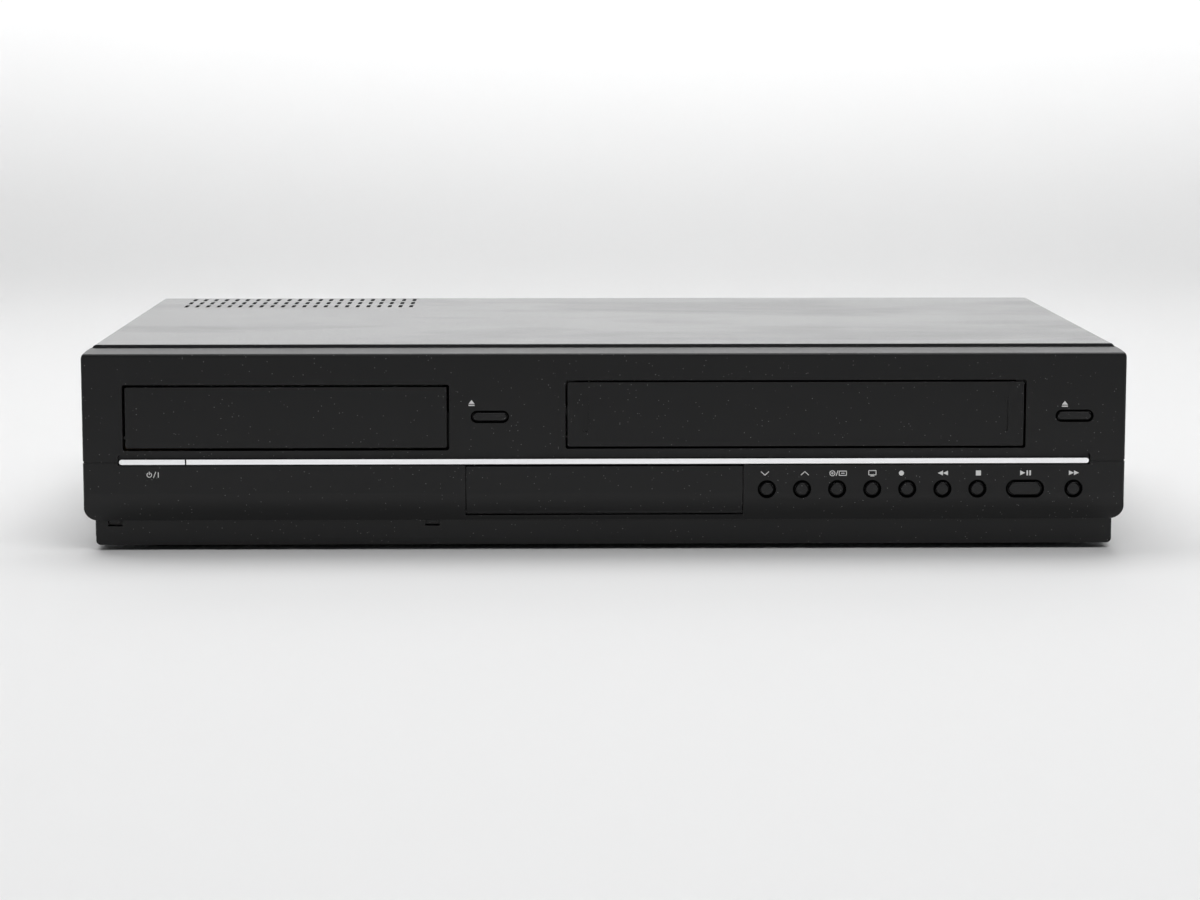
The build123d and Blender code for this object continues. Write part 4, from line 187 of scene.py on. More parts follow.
class Effects:
    """Shader groups that several finishes share, each built once."""

    def __init__(self) -> None:
        """Starts with no group built."""
        self.built: dict[str, bpy.types.NodeTree] = {}

    def group(self, name: str, inputs: dict[str, float],
              outputs: Sequence[str]) -> tuple[Graph, bpy.types.Node, bpy.types.NodeSocket]:
        """Starts a group.

        Args:
            name: The group's name.
            inputs: Its number inputs, with their usual values.
            outputs: The names of its number outputs.

        Returns:
            The group's graph, its input node and the socket of the object's own coordinates.
        """
        tree = bpy.data.node_groups.new(name, "ShaderNodeTree")
        for label, usual in inputs.items():
            socket = tree.interface.new_socket(label, in_out="INPUT", socket_type="NodeSocketFloat")
            socket.default_value = usual
        for label in outputs:
            tree.interface.new_socket(label, in_out="OUTPUT", socket_type="NodeSocketFloat")
        self.built[name] = tree
        graph = Graph(tree)
        given = graph.add("NodeGroupInput")
        return graph, given, graph.add("ShaderNodeTexCoord").outputs["Object"]

    def place(self, graph: Graph, name: str, **values: float) -> bpy.types.Node:
        """Puts a group into a material, building it first where it is new.

        Args:
            graph: The material's graph.
            name: The name of a method of this class that builds the group.
            values: The group's inputs, with spaces written as underscores.

        Returns:
            The group node.
        """
        if name not in self.built:
            getattr(self, name)()
        node = graph.add("ShaderNodeGroup", node_tree=self.built[name])
        for key, value in values.items():
            node.inputs[key.replace("_", " ")].default_value = value
        return node

    def moulded_grain(self) -> None:
        """The spark-eroded grain of a moulding: a fine height and a slow change of tone."""
        graph, given, here = self.group("moulded_grain", {"Scale": 1600.0, "Slow scale": 18.0},
                                        ("Height", "Tone"))
        fine = graph.add("ShaderNodeTexNoise", {"Vector": here, "Scale": given.outputs[0], "Detail": 3.0,
                                                "Roughness": 0.6})
        slow = graph.add("ShaderNodeTexNoise", {"Vector": here, "Scale": given.outputs[1], "Detail": 2.0})
        tone = graph.spread(slow.outputs[0], 0.35, 0.65)
        graph.add("NodeGroupOutput", {"Height": fine.outputs[0], "Tone": tone})

    def settled_dust(self) -> None:
        """Fine pale specks, more of them on faces that look up."""
        graph, given, here = self.group("settled_dust", {"Scale": 1500.0, "Amount": 0.5}, ("Mask",))
        cells = graph.add("ShaderNodeTexVoronoi", {"Vector": here, "Scale": given.outputs[0]})
        picked = graph.add("ShaderNodeSeparateColor", {0: cells.outputs["Color"]}).outputs[0]
        normal = graph.add("ShaderNodeNewGeometry").outputs["Normal"]
        up = graph.add("ShaderNodeSeparateXYZ", {0: normal}).outputs[2]
        share = graph.maths("MULTIPLY", given.outputs[1], graph.spread(up, 0.0, 1.0, 0.35, 1.0))
        chosen = graph.maths("LESS_THAN", picked, graph.maths("MULTIPLY", share, DUST_CELLS))
        round_spot = graph.spread(cells.outputs["Distance"], 0.1, 0.3, 1.0, 0.0)
        graph.add("NodeGroupOutput", {"Mask": graph.maths("MULTIPLY", chosen, round_spot)})

    def rubbed_patches(self) -> None:
        """Broad soft patches where wiping has changed the gloss."""
        graph, given, here = self.group("rubbed_patches", {"Scale": 7.0, "Amount": 0.5}, ("Mask",))
        wiped = graph.add("ShaderNodeMapping", {"Vector": here, "Rotation": (0.0, 0.0, 0.4),
                                                "Scale": (1.0, 2.6, 1.0)}).outputs[0]
        broad = graph.add("ShaderNodeTexNoise", {"Vector": wiped, "Scale": given.outputs[0], "Detail": 5.0,
                                                 "Roughness": 0.55, "Distortion": 0.3}).outputs[0]
        mask = graph.maths("MULTIPLY", graph.spread(broad, 0.48, 0.68), given.outputs[1])
        graph.add("NodeGroupOutput", {"Mask": mask})

    def brushed_lines(self) -> None:
        """Straight fine lines along X, as on rolled or brushed metal."""
        graph, given, here = self.group("brushed_lines", {"Scale": 260.0, "Slow scale": 14.0},
                                        ("Height", "Tone"))
        drawn = graph.add("ShaderNodeMapping", {"Vector": here, "Scale": (0.02, 1.0, 1.0)}).outputs[0]
        lines = graph.add("ShaderNodeTexNoise", {"Vector": drawn, "Scale": given.outputs[0], "Detail": 4.0})
        slow = graph.add("ShaderNodeTexNoise", {"Vector": here, "Scale": given.outputs[1], "Detail": 3.0})
        tone = graph.spread(slow.outputs[0], 0.3, 0.7)
        graph.add("NodeGroupOutput", {"Height": lines.outputs[0], "Tone": tone})

    def copper_tracks(self) -> None:
        """Straight tracks and round pads under a board's lacquer."""
        graph, given, here = self.group("copper_tracks", {"Scale": 90.0, "Pad scale": 200.0},
                                        ("Tracks", "Pads"))
        total: bpy.types.NodeSocket | None = None
        for turn, factor in ((0.0, 1.0), (pi / 2, 1.7)):
            turned = graph.add("ShaderNodeMapping", {"Vector": here, "Rotation": (0.0, 0.0, turn)}).outputs[0]
            scale = graph.maths("MULTIPLY", given.outputs[0], factor)
            bricks = graph.add("ShaderNodeTexBrick", {"Vector": turned, "Mortar Size": 0.03, "Brick Width": 0.9,
                                                      "Scale": scale})
            line = bricks.outputs["Fac"]
            total = line if total is None else graph.maths("MAXIMUM", total, line)
        dots = graph.add("ShaderNodeTexVoronoi", {"Vector": here, "Scale": given.outputs[1],
                                                  "Randomness": 0.35})
        pads = graph.spread(dots.outputs["Distance"], 0.2, 0.24, 1.0, 0.0)
        graph.add("NodeGroupOutput", {"Tracks": total, "Pads": pads})


# ---- Finishes ---------------------------------------------------------------------------------------------
class Surface(Enum):
    """What kind of relief a finish has."""

    MOULDED = "moulded grain"
    PAINTED = "painted sheet"
    BRUSHED = "brushed metal"
    BOARD = "circuit board"


@dataclass(frozen=True)
class Finish:
    """One material: its colour, its gloss and its relief."""

    name: str
    colour: Colour
    roughness: float
    surface: Surface = Surface.MOULDED
    metallic: float = 0.0
    scale: float = 1600.0
    depth: float = 0.02
    tone: float = 0.12
    dust: float = 0.0
    wear: float = 0.0
    coat: float = 0.0
    coat_roughness: float = 0.1
    specular: float = 0.5
    second: Colour = (0.6, 0.6, 0.58)

    def build(self, effects: Effects) -> bpy.types.Material:
        """Makes the material.

        Args:
            effects: The shader groups that the finishes share.

        Returns:
            The new material.
        """
        material = bpy.data.materials.new(self.name)
        material.use_nodes = True
        material.node_tree.nodes.clear()
        graph = Graph(material.node_tree)
        shader = graph.add("ShaderNodeBsdfPrincipled", {"Metallic": self.metallic, "Coat Weight": self.coat,
                                                        "Coat Roughness": self.coat_roughness,
                                                        "Specular IOR Level": self.specular})
        graph.add("ShaderNodeOutputMaterial", {"Surface": shader.outputs[0]})
        height, tone = self.relief(graph, effects)
        dark = tuple(channel * (1.0 - self.tone) for channel in self.colour)
        light = tuple(min(channel * (1.0 + self.tone), 1.0) for channel in self.colour)
        colour = graph.blend(tone, dark, light)
        rough = graph.spread(tone, 0.0, 1.0, self.roughness * (1.0 - self.tone / 2),
                             self.roughness * (1.0 + self.tone / 2))
        if self.surface is Surface.BOARD:
            tracks = effects.place(graph, "copper_tracks")
            shown = graph.maths("MULTIPLY", tracks.outputs["Tracks"], TRACK_COVER)
            colour = graph.blend(shown, colour, self.lacquered())
            colour = graph.blend(tracks.outputs["Pads"], colour, self.second)
            height = graph.maths("ADD", height, tracks.outputs["Tracks"])
        if self.wear:
            rubbed = effects.place(graph, "rubbed_patches", Amount=self.wear).outputs["Mask"]
            rough = graph.maths("ADD", rough, graph.maths("MULTIPLY", rubbed, RUBBED_ROUGHNESS))
        if self.dust:
            specks = effects.place(graph, "settled_dust", Amount=self.dust).outputs["Mask"]
            colour = graph.blend(graph.maths("MULTIPLY", specks, DUST_COVER), colour, self.second)
            rough = graph.maths("ADD", rough, graph.maths("MULTIPLY", specks, DUST_ROUGHNESS))
        bump = graph.add("ShaderNodeBump", {"Height": height, "Strength": min(self.depth * 10, 1.0),
                                            "Distance": self.depth * MM})
        graph.feed(shader, "Base Color", colour)
        graph.feed(shader, "Roughness", rough)
        graph.feed(shader, "Normal", bump.outputs[0])
        return material

    def relief(self, graph: Graph, effects: Effects) -> tuple[bpy.types.NodeSocket, bpy.types.NodeSocket]:
        """Places the finish's relief.

        Args:
            graph: The material's graph.
            effects: The shader groups that the finishes share.

        Returns:
            The sockets of the height and of the slow change of tone.
        """
        name = "brushed_lines" if self.surface is Surface.BRUSHED else "moulded_grain"
        placed = effects.place(graph, name, Scale=self.scale)
        return placed.outputs["Height"], placed.outputs["Tone"]

    def lacquered(self) -> Colour:
        """Returns the colour of copper seen through the lacquer."""
        return tuple(min(channel * LACQUER_GAIN + LACQUER_LIFT, 1.0) for channel in self.colour)


GREY_DUST = (0.42, 0.42, 0.42)
SOCKET_COLOURS = {
    "socket_yellow": (0.72, 0.46, 0.02), "socket_white": (0.7, 0.7, 0.68), "socket_red": (0.5, 0.02, 0.015),
    "socket_green": (0.02, 0.3, 0.06), "socket_blue": (0.015, 0.08, 0.42), "socket_orange": (0.7, 0.2, 0.015)}
FINISHES = {
    finish.name: finish for finish in (
        Finish("panel_plastic", (0.0042, 0.0042, 0.0045), 0.3, depth=0.01, dust=0.5, scale=2400.0,
               second=GREY_DUST, specular=0.34),
        Finish("button_plastic", (0.005, 0.005, 0.0053), 0.22, depth=0.004, dust=0.25, second=GREY_DUST,
               specular=0.34),
        Finish("chrome_trim", (0.93, 0.935, 0.945), 0.07, Surface.BRUSHED, 1.0, depth=0.002, tone=0.03),
        Finish("cover_paint", (0.032, 0.033, 0.035), 0.2, Surface.PAINTED, scale=1100.0, depth=0.008, tone=0.08,
               dust=0.6, wear=0.5, second=GREY_DUST, specular=0.3),
        Finish("plated_steel", (0.56, 0.57, 0.58), 0.3, Surface.BRUSHED, 1.0, scale=300.0, depth=0.006,
               tone=0.1),
        Finish("black_screw", (0.03, 0.03, 0.032), 0.3, metallic=0.6, depth=0.004),
        Finish("foot_rubber", (0.016, 0.016, 0.016), 0.78, depth=0.03, dust=0.6, second=GREY_DUST),
        Finish("socket_metal", (0.78, 0.77, 0.74), 0.22, Surface.BRUSHED, 1.0, depth=0.003, tone=0.08),
        Finish("inlet_plastic", (0.014, 0.014, 0.014), 0.45, depth=0.015),
        Finish("board_green", (0.012, 0.07, 0.026), 0.3, Surface.BOARD, depth=0.03, second=(0.68, 0.66, 0.6)),
        Finish("board_brown", (0.2, 0.115, 0.045), 0.5, Surface.BOARD, depth=0.03, second=(0.62, 0.6, 0.55)),
        Finish("component", (0.02, 0.02, 0.022), 0.42, depth=0.01),
        Finish("ribbon", (0.72, 0.72, 0.7), 0.5, depth=0.01),
        Finish("loader_plastic", (0.022, 0.022, 0.024), 0.46, depth=0.02),
        Finish("tray_plastic", (0.017, 0.017, 0.018), 0.4, depth=0.02, scale=2000.0),
        Finish("gear_plastic", (0.66, 0.64, 0.58), 0.42, depth=0.008, tone=0.05),
        Finish("motor_can", (0.6, 0.6, 0.6), 0.26, Surface.BRUSHED, 1.0, depth=0.004),
        Finish("lens_glass", (0.03, 0.03, 0.045), 0.2, depth=0.004, coat=0.8),
        Finish("drum_alloy", (0.7, 0.7, 0.71), 0.16, Surface.BRUSHED, 1.0, scale=420.0, depth=0.004, tone=0.06),
        Finish("roller_rubber", (0.018, 0.018, 0.018), 0.7, depth=0.02),
        Finish("white_ink", (0.8, 0.8, 0.79), 0.5, depth=0.004, tone=0.05),
        # Near-black and hardly reflecting: painted shade for the floors and walls of the button recesses.
        Finish("recess_painted_shade", (0.0008, 0.0008, 0.0008), 0.85, depth=0.006, specular=0.03),
        *(Finish(name, colour, 0.38, depth=0.006, tone=0.05) for name, colour in SOCKET_COLOURS.items()),
        Finish("solder", (0.74, 0.74, 0.72), 0.28, metallic=1.0, depth=0.01, tone=0.06),
    )
}


class Paintbox:
    """The finishes, made when first asked for."""

    def __init__(self) -> None:
        """Starts with no material made."""
        self.effects = Effects()
        self.made: dict[str, bpy.types.Material] = {}

    def get(self, name: str) -> bpy.types.Material:
        """Returns the material of one finish.

        Args:
            name: The finish's name.

        Returns:
            The material.
        """
        if name not in self.made:
            self.made[name] = FINISHES[name].build(self.effects)
        return self.made[name]

    def dress_nodes(self, frame: dict) -> None:
        """Gives every CAD node the finish of its slot in the record.
        """
        slots = {part["node"]: part["material_slot"] for part in frame["record"]["subparts"]}
        for node, item in frame["nodes"].items():
            material = self.get(slots[node])
            for held in item.material_slots:
                held.material = material
            if not item.material_slots:
                item.data.materials.append(material)


# ---- Meshes -----------------------------------------------------------------------------------------------
def new_piece(name: str, mesh: bmesh.types.BMesh, material: bpy.types.Material,
              smooth: bool = False) -> bpy.types.Object:
    """Turns a bmesh into an object in the scene.

    Args:
        name: The piece's name.
        mesh: The bmesh, which is freed.
        material: The finish.
        smooth: Whether its faces are shaded smooth.

    Returns:
        The new object.
    """
    data = bpy.data.meshes.new(name)
    for face in mesh.faces:
        face.smooth = smooth
    mesh.to_mesh(data)
    mesh.free()
    data.materials.append(material)
    piece = bpy.data.objects.new(name, data)
    bpy.context.scene.collection.objects.link(piece)
    return piece


def prism(mesh: bmesh.types.BMesh, loop: Sequence[Point2], y: Point2) -> None:
    """Adds a prism along Y whose outline is drawn in X and Z, in millimetres.

    Args:
        mesh: The bmesh that it goes into.
        loop: The outline's corners.
        y: Where it starts and ends, in millimetres.
    """
    rings = [[mesh.verts.new((x * MM, depth * MM, z * MM)) for x, z in loop] for depth in y]
    mesh.faces.new(rings[0])
    mesh.faces.new(list(reversed(rings[1])))
    count = len(loop)
    for i in range(count):
        j = (i + 1) % count
        mesh.faces.new((rings[0][j], rings[0][i], rings[1][i], rings[1][j]))


def lathe(mesh: bmesh.types.BMesh, profile: Sequence[Point2], steps: int = 32) -> None:
    """Adds a turned form about Z, closed at its ends.

    Args:
        mesh: The bmesh that it goes into.
        profile: Radius and height pairs, in millimetres, from the bottom up.
        steps: How many sides the form has.
    """
    turns = [2 * pi * i / steps for i in range(steps)]
    rings = [[mesh.verts.new((radius * MM * cos(a), radius * MM * sin(a), height * MM)) for a in turns]
             for radius, height in profile]
    for low, high in zip(rings, rings[1:]):
        for i in range(steps):
            j = (i + 1) % steps
            mesh.faces.new((low[i], low[j], high[j], high[i]))
    mesh.faces.new(list(reversed(rings[0])))
    mesh.faces.new(rings[-1])


def turned_ring(mesh: bmesh.types.BMesh, section: Sequence[Point2], steps: int = 32,
                stretch: float = 0.0) -> None:
    """Adds a ring about Z from its closed section.

    Args:
        mesh: The bmesh that it goes into.
        section: Radius and height pairs, in millimetres, in order round the section.
        steps: How many sides the ring has.
        stretch: How far each half moves out along X, in millimetres, for a long ring.
    """
    turns = [2 * pi * (i + 0.5) / steps for i in range(steps)]
    rings = [[mesh.verts.new(((radius * cos(a) + copysign(stretch, cos(a))) * MM, radius * sin(a) * MM,
                              height * MM)) for a in turns] for radius, height in section]
    for low, high in zip(rings, rings[1:] + rings[:1]):
        for i in range(steps):
            j = (i + 1) % steps
            mesh.faces.new((low[i], low[j], high[j], high[i]))
    bmesh.ops.recalc_face_normals(mesh, faces=mesh.faces)


def soft_block(mesh: bmesh.types.BMesh, size: Point3, edge: float) -> None:
    """Adds a block on Z = 0, centred in X and Y, with bevelled edges.

    Args:
        mesh: The bmesh that it goes into.
        size: Its size in millimetres.
        edge: The bevel's width in millimetres.
    """
    made = bmesh.ops.create_cube(mesh, size=1.0)["verts"]
    bmesh.ops.scale(mesh, verts=made, vec=[side * MM for side in size])
    bmesh.ops.translate(mesh, verts=made, vec=(0.0, 0.0, size[2] * MM / 2))
    edges = list({held for vert in made for held in vert.link_edges})
    bmesh.ops.bevel(mesh, geom=edges, offset=edge * MM, segments=2, profile=0.5, affect="EDGES")


def look_back(mesh: bmesh.types.BMesh, at: Point3) -> None:
    """Turns a mesh that is drawn about Z to look back, and moves it into place.

    Args:
        mesh: The bmesh.
        at: Where its own origin goes, in millimetres.
    """
    bmesh.ops.rotate(mesh, verts=mesh.verts, matrix=Matrix.Rotation(-pi / 2, 3, "X"))
    bmesh.ops.translate(mesh, verts=mesh.verts, vec=[side * MM for side in at])


# ---- Things set out on points -----------------------------------------------------------------------------
@dataclass(frozen=True)
class Place:
    """Where one copy of an item goes, which way its own Z looks, and its turn about that."""

    at: Point3
    facing: Point3 = UP_Z
    spin: float = 0.0


def at_mm(x: float, y: float, z: float, facing: Point3 = UP_Z, spin: float = 0.0) -> Place:
    """Returns a place that is given in millimetres.

    Args:
        x: Its X.
        y: Its Y.
        z: Its Z.
        facing: Which way the item's own Z looks.
        spin: The item's turn about that, in radians.

    Returns:
        The place.
    """
    return Place((x * MM, y * MM, z * MM), facing, spin)


class Repeater:
    """Sets copies of an item out on marked points, through Geometry Nodes."""

    def __init__(self) -> None:
        """Builds the node tree, with its inputs for the item, its size and its finish."""
        self.tree = bpy.data.node_groups.new("set_out", "GeometryNodeTree")
        face = self.tree.interface
        face.new_socket("Geometry", in_out="INPUT", socket_type="NodeSocketGeometry")
        self.item_id = face.new_socket("Item", in_out="INPUT", socket_type="NodeSocketObject").identifier
        self.size_id = face.new_socket("Item size", in_out="INPUT", socket_type="NodeSocketFloat").identifier
        self.finish_id = face.new_socket("Finish", in_out="INPUT", socket_type="NodeSocketMaterial").identifier
        face.new_socket("Geometry", in_out="OUTPUT", socket_type="NodeSocketGeometry")
        graph = Graph(self.tree)
        given = graph.add("NodeGroupInput")
        item = graph.add("GeometryNodeObjectInfo", {"Object": given.outputs["Item"]})
        facing = graph.add("GeometryNodeInputNamedAttribute", {"Name": "facing"}, data_type="FLOAT_VECTOR")
        spin = graph.add("GeometryNodeInputNamedAttribute", {"Name": "spin"}, data_type="FLOAT")
        aimed = graph.add("FunctionNodeAlignRotationToVector", {"Vector": facing.outputs[0]}, axis="Z")
        turn = graph.add("FunctionNodeAxisAngleToRotation", {"Axis": (0.0, 0.0, 1.0), "Angle": spin.outputs[0]})
        both = graph.add("FunctionNodeRotateRotation", {
            "Rotation": aimed.outputs[0], "Rotate By": turn.outputs[0]}, rotation_space="LOCAL")
        copies = graph.add("GeometryNodeInstanceOnPoints", {
            "Points": given.outputs["Geometry"], "Instance": item.outputs["Geometry"],
            "Rotation": both.outputs[0], "Scale": given.outputs["Item size"]})
        real = graph.add("GeometryNodeRealizeInstances", {"Geometry": copies.outputs[0]})
        painted = graph.add("GeometryNodeSetMaterial", {"Geometry": real.outputs[0],
                                                        "Material": given.outputs["Finish"]})
        graph.add("NodeGroupOutput", {"Geometry": painted.outputs[0]})

    def set_out(self, name: str, item: bpy.types.Object, places: Iterable[Place],
                material: bpy.types.Material) -> bpy.types.Object:
        """Makes one plain mesh of an item's copies.

        Args:
            name: The piece's name.
            item: The item, which is removed afterwards.
            places: Where the copies go.
            material: Their finish.

        Returns:
            The new piece.
        """
        places = list(places)
        points = bpy.data.meshes.new(name + "_points")
        points.from_pydata([place.at for place in places], [], [])
        facing = points.attributes.new("facing", "FLOAT_VECTOR", "POINT")
        facing.data.foreach_set("vector", [value for place in places for value in place.facing])
        spin = points.attributes.new("spin", "FLOAT", "POINT")
        spin.data.foreach_set("value", [place.spin for place in places])
        holder = bpy.data.objects.new(name + "_holder", points)
        bpy.context.scene.collection.objects.link(holder)
        modifier = holder.modifiers.new("set_out", "NODES")
        modifier.node_group = self.tree
        modifier[self.item_id] = item
        modifier[self.size_id] = 1.0
        modifier[self.finish_id] = material
        bpy.context.view_layer.update()
        seen = holder.evaluated_get(bpy.context.evaluated_depsgraph_get())
        made = bpy.data.meshes.new_from_object(seen)
        made.name = name
        piece = bpy.data.objects.new(name, made)
        bpy.context.scene.collection.objects.link(piece)
        for gone in (holder, item):
            bpy.data.objects.remove(gone)
        return piece


# ---- What the added pieces share --------------------------------------------------------------------------
@dataclass
class Fitting:
    """A group of added pieces: the finishes, and what sets copies out."""

    paints: Paintbox
    repeater: Repeater

    def single(self, name: str, mesh: bmesh.types.BMesh, finish: str) -> bpy.types.Object:
        """Makes one piece of a mesh that is drawn where it belongs.

        Args:
            name: The piece's name.
            mesh: The mesh, which is freed.
            finish: The finish's name.

        Returns:
            The new piece, with its faces outwards.
        """
        bmesh.ops.recalc_face_normals(mesh, faces=mesh.faces)
        return new_piece(name, mesh, self.paints.get(finish))

    def copies(self, name: str, item: bmesh.types.BMesh, places: Iterable[Place], finish: str,
               smooth: bool = False) -> bpy.types.Object:
        """Makes one piece of an item's copies.

        Args:
            name: The piece's name.
            item: The item's mesh about its own origin, which is freed.
            places: Where the copies go.
            finish: The finish's name.
            smooth: Whether the faces are shaded smooth.

        Returns:
            The new piece.
        """
        paint = self.paints.get(finish)
        return self.repeater.set_out(name, new_piece("item", item, paint, smooth), places, paint)

    def mount(self, piece: bpy.types.Object, slot: str = "", body: str = "chassis",
              instead_of: str = "") -> bpy.types.Object:
        """Says what a piece moves with and stands for.

        Args:
            piece: The finished piece.
            slot: The record's material slot, if it has one; not used.
            body: The body that it rides on.
            instead_of: The plain node that it stands for, if any.

        Returns:
            The same piece.
        """
        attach(piece, body)
        if instead_of:
            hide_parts(instead_of)
        return piece


# ---- Printed marks ----------------------------------------------------------------------------------------
def box_loop(x: float, z: float, width: float, height: float) -> Loop:
    """Returns a rectangle about a point."""
    return [(x - width / 2, z - height / 2), (x + width / 2, z - height / 2),
            (x + width / 2, z + height / 2), (x - width / 2, z + height / 2)]


def box_strokes(x: float, z: float, width: float, height: float) -> list[Stroke]:
    """Returns the four strokes of an open rectangle."""
    corners = box_loop(x, z, width, height)
    return list(zip(corners, corners[1:] + corners[:1]))


def arrow(x: float, height: float, way: int, width: float = 2.1) -> Loop:
    """Returns a triangle about a point, which looks right where way is 1 and left where it is -1."""
    half = way * width / 2
    return [(x - half, -height / 2), (x + half, 0.0), (x - half, height / 2)]


def dot(radius: float, steps: int = 24) -> Loop:
    """Returns a round about zero."""
    return [(radius * cos(2 * pi * i / steps), radius * sin(2 * pi * i / steps)) for i in range(steps)]


@dataclass(frozen=True)
class Arc:
    """A curved stroke: its middle and radius in millimetres, and its angles in degrees."""

    centre: Point2
    radius: float
    start: float = 0.0
    end: float = 360.0
    steps: int = 20


@dataclass(frozen=True)
class Sign:
    """One symbol about its own middle, in millimetres: strokes, arcs and solid shapes."""

    strokes: Sequence[Stroke] = ()
    arcs: Sequence[Arc] = ()
    solids: Sequence[Loop] = ()

    def stroke(self, ends: Stroke, line: float) -> Loop:
        """Returns the outline of a straight stroke.

        Args:
            ends: Its two ends.
            line: Its width.

        Returns:
            Four corners.
        """
        (ax, az), (bx, bz) = ends
        along = hypot(bx - ax, bz - az)
        nx, nz = -(bz - az) / along * line / 2, (bx - ax) / along * line / 2
        return [(ax + nx, az + nz), (bx + nx, bz + nz), (bx - nx, bz - nz), (ax - nx, az - nz)]

    def bend(self, arc: Arc, line: float) -> list[Loop]:
        """Returns a curved stroke as short pieces.

        Args:
            arc: The curve.
            line: Its width.

        Returns:
            The pieces' outlines.
        """
        inner, outer = arc.radius - line / 2, arc.radius + line / 2
        turns = [radians(arc.start + (arc.end - arc.start) * i / arc.steps) for i in range(arc.steps + 1)]
        return [[(arc.centre[0] + r * cos(a), arc.centre[1] + r * sin(a))
                 for r, a in ((inner, a0), (outer, a0), (outer, a1), (inner, a1))]
                for a0, a1 in zip(turns, turns[1:])]

    def drawn(self, at: Point2, line: float) -> list[Loop]:
        """Returns the symbol's outlines at a place.

        Args:
            at: Its middle, in X and Z.
            line: The strokes' width.

        Returns:
            The outlines.
        """
        loops = [piece for arc in self.arcs for piece in self.bend(arc, line)]
        loops += [self.stroke(ends, line) for ends in self.strokes]
        loops += self.solids
        return [[(at[0] + x, at[1] + z) for x, z in loop] for loop in loops]


POWER = Sign(strokes=(((-1.5, 0.0), (-1.5, 1.35)), ((0.2, -1.2), (1.2, 1.3)), ((2.2, -1.1), (2.2, 1.1))),
             arcs=(Arc((-1.5, 0.0), 0.95, 120, 420),))
EJECT = Sign(solids=([(-1.25, -0.35), (1.25, -0.35), (0.0, 1.25)], box_loop(0.0, -0.95, 2.5, 0.5)))
DOWN = Sign(strokes=(((-1.6, 0.75), (0.0, -0.75)), ((0.0, -0.75), (1.6, 0.75))))
UP = Sign(strokes=(((-1.6, -0.75), (0.0, 0.75)), ((0.0, 0.75), (1.6, -0.75))))
DISC_OR_TAPE = Sign(strokes=[((-0.5, -1.1), (0.3, 1.1)), ((1.6, 0.0), (3.0, 0.0)),
                             *box_strokes(2.3, 0.0, 3.0, 1.8)],
                    arcs=(Arc((-2.0, 0.0), 1.05), Arc((-2.0, 0.0), 0.3, steps=8)))
SCREEN = Sign(strokes=[((-0.8, -1.15), (0.8, -1.15)), *box_strokes(0.0, 0.2, 3.0, 1.8)])
RECORD = Sign(solids=[dot(1.05)])
REWIND = Sign(solids=[arrow(x, 2.0, -1) for x in (-1.05, 1.05)])
FORWARD = Sign(solids=[arrow(x, 2.0, 1) for x in (-1.05, 1.05)])
STOP = Sign(solids=[box_loop(0.0, 0.0, 2.1, 2.1)])
PLAY_PAUSE = Sign(solids=[arrow(-1.15, 2.1, 1), *(box_loop(x, 0.0, 0.65, 2.1) for x in (0.75, 1.95))])


@dataclass
class FrontMarks(Fitting):
    """The symbols printed beside the buttons, in millimetres."""

    face_y: float = -121.0
    ink: Point2 = (-0.02, 0.05)
    line: float = 0.32
    label_z: float = 32.4
    above_keys: tuple[tuple[Sign, float], ...] = (
        (DOWN, 65.95), (UP, 82.45), (DISC_OR_TAPE, 95.86), (SCREEN, 110.39), (RECORD, 122.4), (REWIND, 139.6),
        (STOP, 154.3), (PLAY_PAUSE, 173.8), (FORWARD, 193.9))
    elsewhere: tuple[tuple[Sign, Point2], ...] = (
        (POWER, (-186.2, 32.3)), (EJECT, (-55.0, 61.9)), (EJECT, (189.6, 61.1)))

    def build(self) -> list[bpy.types.Object]:
        """Makes the marks as thin ink on the face.

        Returns:
            The piece.
        """
        mesh = bmesh.new()
        for sign, at in [(sign, (x, self.label_z)) for sign, x in self.above_keys] + list(self.elsewhere):
            for loop in sign.drawn(at, self.line):
                prism(mesh, loop, (self.face_y + self.ink[0], self.face_y + self.ink[1]))
        return [self.mount(self.single("printed_marks", mesh, "white_ink"))]


